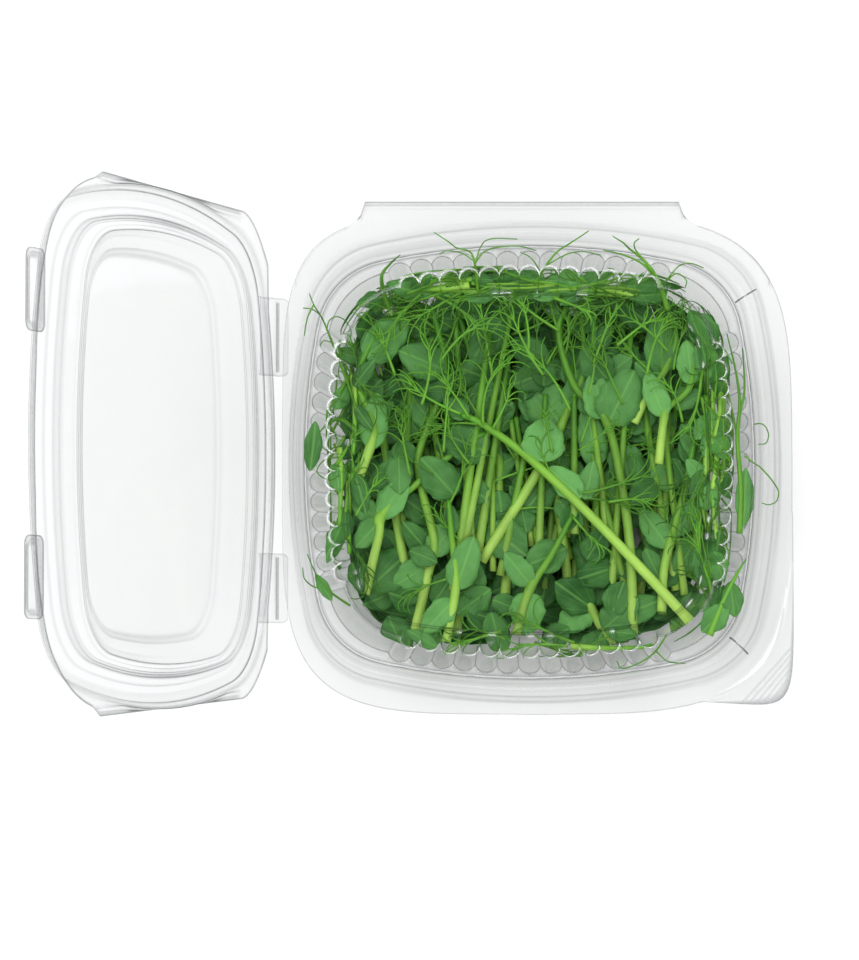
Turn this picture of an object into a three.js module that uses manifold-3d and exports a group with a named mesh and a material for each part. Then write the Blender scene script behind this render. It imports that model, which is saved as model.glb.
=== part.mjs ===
// A hinged clear plastic tray of pea shoot microgreens, with a fluted inner cover over the greens.
// Millimetres, +Z up. The origin is the middle of the tray's underside.
// The lid is held open past upright, and hangs on two thin straps along the tray's -X side.

import * as THREE from "three";
import Module from "manifold-3d";
import { mergeVertices } from "three/addons/utils/BufferGeometryUtils.js";

const wasm = await Module();
wasm.setup();

// Plastic sheet and outline
const WALL = 0.65;
const SIDE_BOW_RADIUS = 240;
const FLUTES_PER_SIDE = 13;
const POINTS_PER_FLUTE = 3;
const CORNER_STEPS = 3;

// Heights of the tray's upper surfaces above the table
const LEDGE_Z = 41;
const FLANGE_Z = 43;
const BEAD_Z = 46;

// Hinge
const HINGE_X = -84.2;
const HINGE_Z = 43.5;
const LID_OPEN_DEG = 113;
const FOLD_GAP = 0.4;
const STRAPS = [
  { y: 41.5, length: 27 },
  { y: -42.4, length: 24 },
];
const STRAP_REACH = 12;

// Long press tab on the +Y side, the same on the tray and on the lid
const TAB_FROM_X = -55.9;
const TAB_TO_X = 51.1;
const TAB_CREASE_Y = 84.6;
const TAB_EDGE_Y = 87.1;
const TAB_FILLET = 3;

// Corner pull tab at +X -Y
const PULL_TAB_X = 88.4;
const PULL_TAB_Y = -81.5;
const PULL_TAB_ROUND = 6;
const GRIP_RIDGES = 5;

// Greens
const STEM_SIDES = 5;
const TENDRIL_SIDES = 3;
const LEAF_THICK = 0.7;
const DEG = Math.PI / 180;

const clearPlastic = new THREE.MeshStandardMaterial({
  color: 0xeef2f1,
  roughness: 0.12,
  metalness: 0,
  transparent: true,
  opacity: 0.35,
});
const shootGreen = new THREE.MeshStandardMaterial({ color: 0x4f8f35, roughness: 0.6, metalness: 0 });

// Seeded draws

function seeded(seed) {
  let state = seed >>> 0;
  return (low, high) => {
    state = (Math.imul(state, 1664525) + 1013904223) >>> 0;
    return low + ((high - low) * state) / 4294967296;
  };
}

// Solids from points and back

function solidFrom(points, triangles) {
  const geometry = new THREE.BufferGeometry();
  geometry.setAttribute("position", new THREE.Float32BufferAttribute(points.flat(), 3));
  geometry.setIndex(triangles.flat());
  return solidOf(geometry);
}

function solidOf(geometry) {
  const bare = geometry.index ? geometry.toNonIndexed() : geometry.clone();
  bare.deleteAttribute("normal");
  bare.deleteAttribute("uv");
  const merged = mergeVertices(bare, 1e-3);
  return new wasm.Manifold(
    new wasm.Mesh({
      numProp: 3,
      vertProperties: merged.attributes.position.array,
      triVerts: new Uint32Array(merged.index.array),
    }),
  );
}

function meshOf(solid, name, material) {
  const found = solid.getMesh();
  const geometry = new THREE.BufferGeometry();
  geometry.setAttribute("position", new THREE.BufferAttribute(found.vertProperties, 3));
  geometry.setIndex(new THREE.BufferAttribute(found.triVerts, 1));
  geometry.computeVertexNormals();
  const mesh = new THREE.Mesh(geometry, material);
  mesh.name = name;
  return mesh;
}

// An extruded plan shape between two heights.
function plate(shape, fromZ, toZ) {
  const geometry = new THREE.ExtrudeGeometry(shape, {
    depth: toZ - fromZ,
    bevelEnabled: false,
    curveSegments: 5,
  });
  geometry.translate(0, 0, fromZ);
  return solidOf(geometry);
}

function planShape(points) {
  return new THREE.Shape(points.map(([x, y]) => new THREE.Vector2(x, y)));
}

// Outlines: a rounded square with bowed sides, given by its half sizes and corner radius.

function cornerCentre(halfX, halfY, corner) {
  const reach = SIDE_BOW_RADIUS - corner;
  let x = halfX - corner;
  let y = halfY - corner;
  for (let i = 0; i < 30; i++) {
    x = halfX - SIDE_BOW_RADIUS + Math.sqrt(reach * reach - y * y);
    y = halfY - SIDE_BOW_RADIUS + Math.sqrt(reach * reach - x * x);
  }
  return [x, y];
}

// One closed ring of [x, y] points. A fluted ring has more points and swells between flute roots.
function ringPoints(station) {
  const { halfX, halfY, corner, midX = 0, midY = 0, flute = 0, sideSteps = FLUTES_PER_SIDE } = station;
  const per = flute > 0 ? POINTS_PER_FLUTE : 1;
  const [cx, cy] = cornerCentre(halfX, halfY, corner);
  const points = [];
  for (let side = 0; side < 4; side++) {
    const along = side % 2 === 0 ? halfX : halfY;
    const [near, far] = side % 2 === 0 ? [cx, cy] : [cy, cx];
    const spread = Math.atan2(far, near - along + SIDE_BOW_RADIUS);
    const turn = (side * Math.PI) / 2;
    const place = (u, v) => {
      const x = u * Math.cos(turn) - v * Math.sin(turn);
      const y = u * Math.sin(turn) + v * Math.cos(turn);
      points.push([midX + x, midY + y]);
    };
    const stepsAlong = sideSteps * per;
    for (let i = 0; i < stepsAlong; i++) {
      const angle = spread * ((2 * i) / stepsAlong - 1);
      const swell = flute * Math.abs(Math.sin((Math.PI * i) / per));
      const radius = SIDE_BOW_RADIUS + swell;
      place(along - SIDE_BOW_RADIUS + radius * Math.cos(angle), radius * Math.sin(angle));
    }
    const nextAlong = side % 2 === 0 ? halfY : halfX;
    const nextSpread = Math.atan2(near, far - nextAlong + SIDE_BOW_RADIUS);
    const sweep = Math.PI / 2 - spread - nextSpread;
    const cornerSteps = CORNER_STEPS * per;
    for (let i = 0; i < cornerSteps; i++) {
      const angle = spread + (sweep * i) / cornerSteps;
      place(near + corner * Math.cos(angle), far + corner * Math.sin(angle));
    }
  }
  return points;
}

// The station a sheet's thickness below, square to the section through its neighbours.
function below(stations, i, thick) {
  const here = stations[i];
  const before = stations[Math.max(i - 1, 0)];
  const after = stations[Math.min(i + 1, stations.length - 1)];
  const unit = (a, b) => {
    const dx = b.halfX - a.halfX;
    const dz = b.z - a.z;
    const size = Math.hypot(dx, dz) || 1;
    return [dx / size, dz / size];
  };
  const first = i > 0 ? unit(before, here) : unit(here, after);
  const second = i < stations.length - 1 ? unit(here, after) : first;
  const sumX = first[0] + second[0];
  const sumZ = first[1] + second[1];
  const size = Math.hypot(sumX, sumZ);
  const across = [sumX / size, sumZ / size];
  const mitre = Math.min(1.6, 1 / Math.max(0.3, across[0] * first[0] + across[1] * first[1]));
  const out = across[1] * thick * mitre;
  const down = -across[0] * thick * mitre;
  return {
    ...here,
    halfX: here.halfX + out,
    halfY: here.halfY + out,
    corner: here.corner + out,
    z: here.z + down,
  };
}

// A thin formed sheet through its stations, listed from the middle outwards. lift bends it up by place.
function formedSheet(stations, lift = () => 0) {
  const under = stations.map((_, i) => below(stations, i, WALL));
  const rings = [...under, ...stations.slice().reverse()];
  const points = [];
  const triangles = [];
  const starts = [];
  const counts = [];
  for (const station of rings) {
    starts.push(points.length);
    const ring = ringPoints(station);
    counts.push(ring.length);
    for (const [x, y] of ring) points.push([x, y, station.z + lift(x, y, station)]);
  }
  for (let r = 0; r < rings.length - 1; r++) {
    stitch(triangles, starts[r], counts[r], starts[r + 1], counts[r + 1]);
  }
  cap(points, triangles, starts[0], counts[0], rings[0], true);
  const last = rings.length - 1;
  cap(points, triangles, starts[last], counts[last], rings[last], false);
  return solidFrom(points, triangles);
}

function stitch(triangles, startA, countA, startB, countB) {
  const steps = Math.min(countA, countB);
  const perA = countA / steps;
  const perB = countB / steps;
  for (let i = 0; i < steps; i++) {
    const a = (k) => startA + ((i * perA + k) % countA);
    const b = (k) => startB + ((i * perB + k) % countB);
    if (perA === perB) {
      for (let k = 0; k < perA; k++) {
        triangles.push([a(k), a(k + 1), b(k + 1)], [a(k), b(k + 1), b(k)]);
      }
    } else if (perA > perB) {
      const half = Math.ceil(perA / 2);
      for (let k = 0; k < perA; k++) triangles.push([a(k), a(k + 1), b(k < half ? 0 : 1)]);
      triangles.push([a(half), b(1), b(0)]);
    } else {
      const half = Math.ceil(perB / 2);
      for (let k = 0; k < perB; k++) triangles.push([a(k < half ? 0 : 1), b(k + 1), b(k)]);
      triangles.push([a(0), a(1), b(half)]);
    }
  }
}

function cap(points, triangles, start, count, station, faceDown) {
  const middle = points.length;
  points.push([station.midX || 0, station.midY || 0, station.z]);
  for (let i = 0; i < count; i++) {
    const a = start + i;
    const b = start + ((i + 1) % count);
    triangles.push(faceDown ? [middle, b, a] : [middle, a, b]);
  }
}

// The base tray

const BEAD_FOOT = { halfX: 81.6, halfY: 79.8, corner: 28, midX: 1.6 };

const trayStations = [
  { halfX: 58.5, halfY: 56, corner: 18, z: WALL },
  { halfX: 62, halfY: 59.4, corner: 20, z: 1.8 },
  { halfX: 63.8, halfY: 61.2, corner: 21, z: 5.5 },
  { halfX: 64.5, halfY: 61.9, corner: 21.5, z: 8.5, flute: 1.7 },
  { halfX: 70.6, halfY: 67.9, corner: 25, z: 38.8, flute: 2.4 },
  { halfX: 73.3, halfY: 70.6, corner: 26, z: LEDGE_Z },
  { halfX: 75.4, halfY: 72.6, corner: 26.5, z: LEDGE_Z },
  { halfX: 76.5, halfY: 73.9, corner: 26.8, midX: 0.2, z: 45.1 },
  { halfX: 78.7, halfY: 76.4, corner: 27.2, midX: 0.8, z: BEAD_Z },
  { halfX: 80.7, halfY: 78.7, corner: 27.6, midX: 1.4, z: 45.1 },
  { ...BEAD_FOOT, z: FLANGE_Z },
  { halfX: 85.2, halfY: 83.2, corner: 30, midX: 2.55, midY: -1.25, z: FLANGE_Z },
];

// Everything inside the bead's outer foot, to keep plates on the flange clear of the hollow bead.
function insideOfBead(foot, low, high) {
  const shape = planShape(ringPoints(foot));
  return plate(shape, low, high);
}

function pressTabShape(fromX, toX, innerY) {
  const shape = new THREE.Shape();
  shape.moveTo(fromX, innerY);
  shape.lineTo(fromX - TAB_FILLET, TAB_CREASE_Y - 7);
  shape.quadraticCurveTo(fromX - 0.2, TAB_CREASE_Y - 5, fromX, TAB_CREASE_Y - 1.5);
  shape.lineTo(fromX, TAB_EDGE_Y);
  shape.lineTo(toX, TAB_EDGE_Y);
  shape.lineTo(toX, TAB_CREASE_Y - 1.5);
  shape.quadraticCurveTo(toX + 0.2, TAB_CREASE_Y - 5, toX + TAB_FILLET, TAB_CREASE_Y - 7);
  shape.lineTo(toX, innerY);
  return shape;
}

function pullTabShape() {
  const shape = new THREE.Shape();
  shape.moveTo(50, -70);
  shape.lineTo(50, -79.2);
  shape.quadraticCurveTo(64, PULL_TAB_Y + 0.2, PULL_TAB_X - PULL_TAB_ROUND, PULL_TAB_Y);
  shape.absarc(
    PULL_TAB_X - PULL_TAB_ROUND,
    PULL_TAB_Y + PULL_TAB_ROUND,
    PULL_TAB_ROUND,
    -Math.PI / 2,
    0,
    false,
  );
  shape.quadraticCurveTo(PULL_TAB_X, -50, 86.4, -30);
  shape.lineTo(78, -30);
  return shape;
}

function bar(length, width, height) {
  const geometry = new THREE.BoxGeometry(length, width, height);
  return solidOf(geometry);
}

// Raised diagonal ridges where fingers grip the pull tab.
function gripRidges() {
  let ridges = null;
  for (let i = 0; i < GRIP_RIDGES; i++) {
    const out = 103.6 + i * 2.3;
    const length = 17 - i * 1.8;
    const ridge = bar(length, 0.8, 0.9)
      .rotate([0, 0, 40])
      .translate([out * Math.cos(-43.5 * DEG), out * Math.sin(-43.5 * DEG), FLANGE_Z]);
    ridges = ridges ? ridges.add(ridge) : ridge;
  }
  return ridges;
}

// Half of each hinge strap, from the rim towards the fold. It stops short of the fold line.
function strapHalves(fromX, toX, lowZ) {
  return STRAPS.map(({ y, length }) => {
    const shape = planShape([
      [fromX, y - length / 2],
      [toX, y - length / 2],
      [toX, y + length / 2],
      [fromX, y + length / 2],
    ]);
    return plate(shape, lowZ, lowZ + WALL);
  });
}

function baseTray() {
  let tray = formedSheet(trayStations);
  const keepOut = insideOfBead({ ...BEAD_FOOT, halfX: 82.1, halfY: 80.3 }, 40, 47);
  const flangeLow = FLANGE_Z - WALL;
  const plates = [
    plate(pressTabShape(TAB_FROM_X, TAB_TO_X, 70), flangeLow, FLANGE_Z),
    plate(pullTabShape(), flangeLow, FLANGE_Z),
    ...strapHalves(HINGE_X + FOLD_GAP / 2, HINGE_X + STRAP_REACH, flangeLow),
  ];
  for (const each of plates) tray = tray.add(each.subtract(keepOut));
  const tabMidX = (TAB_FROM_X + TAB_TO_X) / 2;
  const tabLip = bar(TAB_TO_X - TAB_FROM_X, TAB_EDGE_Y - TAB_CREASE_Y, 1.5);
  tray = tray.add(tabLip.translate([tabMidX, (TAB_EDGE_Y + TAB_CREASE_Y) / 2, FLANGE_Z]));
  tray = tray.add(gripRidges());
  for (const [x, y, turn] of [
    [71.2, 54.7, 32],
    [68.4, -60.3, -43],
  ]) {
    tray = tray.add(bar(3.8, 0.8, 1).rotate([0, 0, turn]).translate([x, y, BEAD_Z - 0.2]));
  }
  return tray;
}

// The fluted inner cover that is pressed into the tray's mouth, over the greens

const coverStations = [
  { halfX: 60.5, halfY: 57.3, corner: 20, z: 31.7 },
  { halfX: 61.5, halfY: 58.4, corner: 20.5, z: 30.4 },
  { halfX: 64.6, halfY: 62, corner: 22, z: 30.4 },
  { halfX: 65.6, halfY: 63.2, corner: 22.5, z: 32, flute: 2.1 },
  { halfX: 69.2, halfY: 66.5, corner: 24.5, z: 40, flute: 2.4 },
  { halfX: 72.4, halfY: 69.7, corner: 25.6, z: LEDGE_Z + 0.95 },
  { halfX: 74.8, halfY: 72, corner: 26.2, z: LEDGE_Z + 0.95 },
];

function innerCover() {
  return formedSheet(coverStations);
}

// The lid, drawn closed, in a frame that starts on the hinge line. Its heights are from that line.

const LID_SIDE_STEPS = 6;
const LID_FREE_EDGE = 169.9;
const LID_LIP_RISE = 3;
const LUG_Y = 42.7;
const LUG_LENGTH = 24;
const LUG_REACH = 3.2;
const LUG_ROOT = 9;
const LUG_LOW = 0.9;
const LUG_RISE = 1.1;
const LID_TAB_SHORTER = 4;
const LID_TAB_SET_BACK = 2.9;
const LID_FLANGE_LOW = 0.5;
const LID_FOOT = { halfX: 83, halfY: 80.9, corner: 28.5, midX: 85.4 };

const lidStations = [
  { halfX: 46.8, halfY: 59.8, corner: 19, midX: 88.6, z: 3.1 },
  { halfX: 48.6, halfY: 61.6, corner: 20, midX: 88.6, z: 1.6 },
  { halfX: 59.4, halfY: 68, corner: 22, midX: 82.3, z: 0.4 },
  { halfX: 61, halfY: 69.6, corner: 23, midX: 82.6, z: 1.1 },
  { halfX: 71.2, halfY: 72.2, corner: 25, midX: 83.8, z: 1.1 },
  { halfX: 74.2, halfY: 74.4, corner: 26, midX: 84.2, z: 3.4 },
  { halfX: 79.2, halfY: 77.6, corner: 27.2, midX: 84.8, z: 4 },
  { halfX: 81.8, halfY: 79.9, corner: 28, midX: 85.2, z: 3.2 },
  { ...LID_FOOT, z: 1.15 },
  { halfX: 84.4, halfY: 82.2, corner: 30, midX: 85.6, z: 1.15, rim: true },
].map((station) => ({ ...station, sideSteps: LID_SIDE_STEPS }));

// The free edge turns up in a lip that fades towards the corners.
function lidLift(x, y, station) {
  if (!station.rim) return 0;
  const outwards = THREE.MathUtils.smoothstep(x, 120, 166);
  const inwards = 1 - THREE.MathUtils.smoothstep(Math.abs(y), 45, 72);
  return LID_LIP_RISE * outwards * inwards;
}

function lidPressLip(side) {
  const shape = pressTabShape(TAB_FROM_X - HINGE_X, TAB_TO_X - HINGE_X - LID_TAB_SHORTER, 66);
  const lip = plate(shape, LID_FLANGE_LOW, LID_FLANGE_LOW + WALL).translate([0, -LID_TAB_SET_BACK, 0]);
  return side > 0 ? lip : lip.mirror([0, 1, 0]);
}

// A folded thumb lug: a flat that leaves the free edge, and an upright end.
function thumbLug(y) {
  const outer = LID_FREE_EDGE + LUG_REACH;
  const profile = planShape([
    [LID_FREE_EDGE - LUG_ROOT, LUG_LOW],
    [outer, LUG_LOW],
    [outer, LUG_LOW + LUG_RISE],
    [outer - WALL, LUG_LOW + LUG_RISE],
    [outer - WALL, LUG_LOW + WALL],
    [LID_FREE_EDGE - LUG_ROOT, LUG_LOW + WALL],
  ]);
  return plate(profile, -LUG_LENGTH / 2, LUG_LENGTH / 2)
    .rotate([90, 0, 0])
    .translate([0, y, 0]);
}

function lid() {
  let solid = formedSheet(lidStations, lidLift);
  const keepOut = insideOfBead({ ...LID_FOOT, halfX: 83.5, halfY: 81.4 }, -5, 8);
  for (const side of [1, -1]) solid = solid.add(lidPressLip(side).subtract(keepOut));
  for (const strap of strapHalves(FOLD_GAP / 2, STRAP_REACH, 0.5)) {
    solid = solid.add(strap.subtract(keepOut));
  }
  for (const side of [1, -1]) solid = solid.add(thumbLug(side * LUG_Y).subtract(keepOut));
  return solid;
}

// Pea shoots. Each has a stem from its cut end to its tip, leaves that clasp the stem, and tendrils.

const LIFT_STEP = 0.7;
const SHOOT_GAP = 0.3;
const SEARCH_GAP = 0.4;
const SLIVER = 0.02;
const PILE_FLOOR_Z = 1.2;

// A closed tube along points, thinning from one end to the other.
function taperedTube(points, fromRadius, toRadius, sides) {
  const vertices = [];
  const triangles = [];
  const last = points.length - 1;
  points.forEach((point, i) => {
    const ahead = points[Math.min(i + 1, last)].clone().sub(points[Math.max(i - 1, 0)]).normalize();
    const sideways = new THREE.Vector3(0, 0, 1).cross(ahead).normalize();
    const upwards = ahead.clone().cross(sideways);
    const radius = fromRadius + ((toRadius - fromRadius) * i) / last;
    for (let k = 0; k < sides; k++) {
      const angle = (2 * Math.PI * k) / sides;
      const spot = point
        .clone()
        .addScaledVector(sideways, radius * Math.cos(angle))
        .addScaledVector(upwards, radius * Math.sin(angle));
      vertices.push(spot.toArray());
    }
  });
  for (let i = 0; i < last; i++) {
    for (let k = 0; k < sides; k++) {
      const a = i * sides + k;
      const b = i * sides + ((k + 1) % sides);
      triangles.push([a, b, b + sides], [a, b + sides, a + sides]);
    }
  }
  for (let k = 1; k < sides - 1; k++) {
    triangles.push([0, k + 1, k]);
    triangles.push([last * sides, last * sides + k, last * sides + k + 1]);
  }
  return solidFrom(vertices, triangles);
}

// A leaf blade from its base to its tip, folded a little along the midrib, with a waved edge.
function leafBlade(base, tip, width, wave, arch) {
  const along = tip.clone().sub(base);
  const across = new THREE.Vector3(-along.y, along.x, 0).normalize();
  const stations = [0.24, 0.52, 0.82];
  const spots = [base.clone()];
  stations.forEach((f, i) => {
    const half = (width / 2) * Math.pow(Math.sin(Math.PI * Math.pow(f, 0.85)), 0.7);
    const ripple = wave * (i % 2 === 0 ? 1 : -1);
    const rib = base.clone().addScaledVector(along, f);
    rib.z += arch * Math.sin(Math.PI * f);
    for (const side of [0, 1, -1]) {
      const spot = rib.clone().addScaledVector(across, side * half * (1 + side * ripple));
      spot.z += side === 0 ? 0 : 0.12 * half + side * ripple * 2;
      spots.push(spot);
    }
  });
  spots.push(tip.clone());
  const end = spots.length - 1;
  const face = [[0, 1, 2], [0, 3, 1]];
  for (const r of [1, 4]) {
    face.push([r, r + 3, r + 4], [r, r + 4, r + 1], [r, r + 2, r + 5], [r, r + 5, r + 3]);
  }
  face.push([7, end, 8], [7, 9, end]);
  const rim = [0, 3, 6, 9, end, 8, 5, 2];
  const points = [];
  for (const lift of [LEAF_THICK / 2, -LEAF_THICK / 2]) {
    for (const spot of spots) points.push([spot.x, spot.y, spot.z + lift]);
  }
  const low = spots.length;
  const triangles = [];
  for (const [a, b, c] of face) {
    triangles.push([a, b, c], [c + low, b + low, a + low]);
  }
  rim.forEach((a, i) => {
    const b = rim[(i + 1) % rim.length];
    triangles.push([a, a + low, b + low], [a, b + low, b]);
  });
  return solidFrom(points, triangles);
}

function curveThrough(points, steps) {
  return new THREE.CatmullRomCurve3(points, false, "centripetal").getPoints(steps);
}

// One shoot as a solid, lying at height 0.
function shootSolid({ path, thick, leaves = [], tendrils = [] }, draw) {
  const route = path.map(([x, y], i) => {
    const rise = i === 0 || i === path.length - 1 ? 0 : draw(-0.4, 0.4);
    return new THREE.Vector3(x, y, rise);
  });
  const stem = curveThrough(route, Math.max(4, path.length));
  let solid = taperedTube(stem, thick / 2, thick * 0.3, STEM_SIDES);
  for (const [baseX, baseY, tipX, tipY, width] of leaves) {
    const base = new THREE.Vector3(baseX, baseY, 0);
    const near = stem.reduce((a, b) => (a.distanceTo(base) < b.distanceTo(base) ? a : b));
    base.z = near.z;
    const tip = new THREE.Vector3(tipX, tipY, near.z + draw(-0.6, 0.9));
    const blade = leafBlade(base, tip, width, draw(0.03, 0.08), draw(0.2, 0.9));
    solid = solid.add(blade);
  }
  for (const [fromX, fromY, toX, toY, bow] of tendrils) {
    const from = new THREE.Vector3(fromX, fromY, 0);
    const to = new THREE.Vector3(toX, toY, draw(-0.5, 0.6));
    const middle = from.clone().add(to).multiplyScalar(0.5);
    middle.add(new THREE.Vector3(fromY - toY, toX - fromX, 0).multiplyScalar(bow));
    const curl = curveThrough([from, middle, to], 4);
    solid = solid.add(taperedTube(curl, 0.55, 0.4, TENDRIL_SIDES));
  }
  const pieces = solid.simplify(SLIVER).decompose();
  return pieces.reduce((a, b) => (a.volume() > b.volume() ? a : b));
}


const LAID_Z = 27.3;

// Shoots that show on top, placed by hand in plan: stem points from the cut end to the tip;
// leaves as base x, y, tip x, y and width; tendrils as start x, y, end x, y and bow.
const laidShoots = [
  {
    path: [[52.4, -50.9], [23.8, -20.4], [0.2, 2], [-15.3, 13.3], [-23, 16.9]],
    thick: 3.5,
    leaves: [[18, -11.3, 7, -1, 8.5], [19, -12, 22, 1, 7], [4.5, 0.8, 5.6, 15.5, 13.5]],
    tendrils: [[-15, 13, -33, 17.5, 0.1], [-14, 12.5, -25, 27, -0.1], [18, -11.3, 36, -13, 0.05]],
  },
  {
    path: [[35.2, -54.2], [34.7, -33], [32.4, -11.8], [26.6, 14.6], [15.7, 26.6], [10.3, 45], [14, 55]],
    thick: 3.5,
    leaves: [[27, 14, 36, 32, 14], [25, 15.5, 22, 31, 10]],
    tendrils: [[10.5, 38, 21, 56, -0.12], [10.3, 45, 5, 58, 0.1]],
  },
  {
    path: [[-15.8, -32.7], [3.4, -2.1], [13.4, 18], [21.4, 37], [22.5, 52]],
    thick: 3.6,
    leaves: [[11.5, 13.5, 0, 29.5, 13.8], [13.4, 18, 19.5, 33.5, 8]],
    tendrils: [[20, 34, 31, 50, 0.12], [17, 26, 14, 45, 0.12]],
  },
  {
    path: [[36, 14], [40.4, 23.2], [46.7, 32.9], [50.1, 41.5], [49, 50]],
    thick: 2.8,
    leaves: [[45.6, 31.5, 44.2, 50, 11]],
    tendrils: [[50, 43, 43, 55, 0.12], [44, 29, 32, 41, 0.12]],
  },
  {
    path: [[44, 0], [45.6, 14], [47.3, 19.1], [54.2, 25.5], [57, 38]],
    thick: 3,
    leaves: [[55, 27, 53.5, 42, 8], [46, 16, 40, 31, 8]],
    tendrils: [[57, 37, 53, 47, 0.15]],
  },
  {
    path: [[45, -49.7], [46.1, -34.2], [50.7, -17], [54, -4], [57, 12]],
    thick: 3.2,
    leaves: [[48.5, -23.5, 60.5, -11.5, 8], [47.5, -28, 38, -15, 8.5]],
    tendrils: [[57, 10, 62, 22, 0.12]],
  },
  {
    path: [[-55.1, -43.9], [-50.5, -24], [-49.5, -17], [-37.8, -6.6], [-22.5, 6.1], [-14, 11]],
    thick: 3.2,
    leaves: [[-50, -18.5, -58.5, -28, 8], [-50, -18, -41, -5, 9], [-50.5, -19, -60, -11, 7]],
    tendrils: [[-28.6, 0, -30, 14, 0.12], [-22, 6, -20, 19, -0.1]],
  },
  {
    path: [
      [-37.8, -54.1], [-33.5, -35], [-31.8, -25.5], [-36, -8], [-37, 4], [-30.6, 21], [-28.1, 33.8], [-32.7, 54],
    ],
    thick: 3.4,
    leaves: [[-33.5, -33.5, -45.5, -41, 9.5], [-33, -31, -25, -19, 8.5]],
    tendrils: [[-29, 38, -20, 52, 0.12], [-31, 46, -42, 56, -0.12]],
  },
  {
    path: [[-27.1, -56.2], [-24.5, -40.3], [-26, -24], [-27, -12]],
    thick: 3,
    leaves: [[-24.6, -42, -18.5, -24.5, 10], [-25.5, -46, -36, -57, 8.5]],
    tendrils: [[-27, -14, -17, 2, 0.15], [-24.5, -38, -40, -42, 0.18]],
  },
  {
    path: [[-9.7, -58], [-7, -33.7], [-9.7, -10.7], [-9.7, 1.5], [-12, 16], [-20.4, 41.4], [-24, 54]],
    thick: 3.6,
    leaves: [[-9.7, 0.5, -17.5, 10, 8], [-13.5, 22, -9, 40, 10.5]],
    tendrils: [[-20, 41, -13.8, 55, -0.1], [-21, 44, -36, 52, 0.15]],
  },
  {
    path: [[-43.9, -32.2], [-40, -10], [-41.9, 1.6], [-37.8, 16.9], [-33.2, 34.8], [-20, 52]],
    thick: 3.4,
    leaves: [[-38.5, 14.5, -41.5, 33.5, 10], [-43.5, -30, -52, -21, 8]],
    tendrils: [[-26, 44, -12, 50, -0.12]],
  },
  {
    path: [[-58.5, -8], [-53, 7], [-52.5, 14], [-57.5, 29], [-50.6, 47]],
    thick: 3.2,
    leaves: [[-53, 5, -51, 24, 9], [-55, 36, -41, 49, 12]],
    tendrils: [[-51, 46, -43, 54, 0.12], [-57, 30, -60, 40, 0.12]],
  },
  {
    path: [[-3.2, -54], [0.2, -42.8], [7.7, -30.8], [15, -17]],
    thick: 3.2,
    leaves: [[0, -43.5, -1, -58, 11], [1, -41, -8, -30, 8]],
    tendrils: [[15, -18, 24, -28, 0.15]],
  },
  {
    path: [[26.6, -57.5], [20.3, -45], [22, -30], [23.2, -12], [23.2, 0.8], [31, 25], [30, 42]],
    thick: 3.2,
    leaves: [[23.2, 0, 19.5, 19.5, 9.5], [20.8, -47.5, 11, -56, 10]],
    tendrils: [[30.5, 36, 40, 52, 0.12]],
  },
  {
    path: [[60, -40], [57, -20], [60.5, 0], [61, 18], [59, 34]],
    thick: 2.9,
    leaves: [[57.2, -24, 50, -38, 8.5], [60.5, 2, 52, 14, 8.5]],
    tendrils: [[60, 24, 54, 40, -0.12]],
  },
];

// Shoots under those, laid by rule side by side and leaning a different way in each layer.
const UNDER_LAYERS = [
  { lean: -0.16, count: 6 },
  { lean: 0.2, count: 5 },
  { lean: -0.05, count: 5 },
];
const UNDER_HALF_WIDTH = 55;
const UNDER_HALF_LENGTH = 54;
const UNDER_CORNER_X = 40;
const UNDER_CORNER_INSET = 10;
const UNDER_MOST_X = 60;
const UNDER_TOP_Z = 22;
const UNDER_LAYER_DROP = 6;

function underShoot(layer, i, draw) {
  const { lean, count } = UNDER_LAYERS[layer];
  const lane = (2 * (i + 0.5)) / count - 1 + draw(-0.05, 0.05);
  const midX = UNDER_HALF_WIDTH * lane;
  const inset = Math.abs(midX) > UNDER_CORNER_X ? UNDER_CORNER_INSET : 0;
  const fromY = -UNDER_HALF_LENGTH + inset + draw(0, 8);
  const toY = UNDER_HALF_LENGTH - inset - draw(0, 10);
  const keepIn = (x) => THREE.MathUtils.clamp(x, -UNDER_MOST_X, UNDER_MOST_X);
  const bend = draw(-3, 3);
  const spot = (f) => {
    const y = fromY + (toY - fromY) * f;
    const sway = f > 0.2 && f < 0.8 ? bend : 0;
    return [keepIn(midX + lean * y) + sway, y];
  };
  const path = [0, 0.35, 0.7, 1].map(spot);
  const leafAt = (f, side) => {
    const [x, y] = spot(f);
    const reach = draw(11, 15);
    return [x, y, keepIn(x + side * reach * 0.62), y + reach * 0.78, draw(8, 11)];
  };
  const leaves = [leafAt(0.42, 1), leafAt(0.66, -1)];
  const [tipX, tipY] = path[3];
  const inwards = tipX > 0 ? -1 : 1;
  const tendrils = [[tipX, tipY - 1, tipX + inwards * 7, tipY + 6, 0.15]];
  return { path, thick: draw(2.8, 3.5), leaves, tendrils };
}

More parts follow.
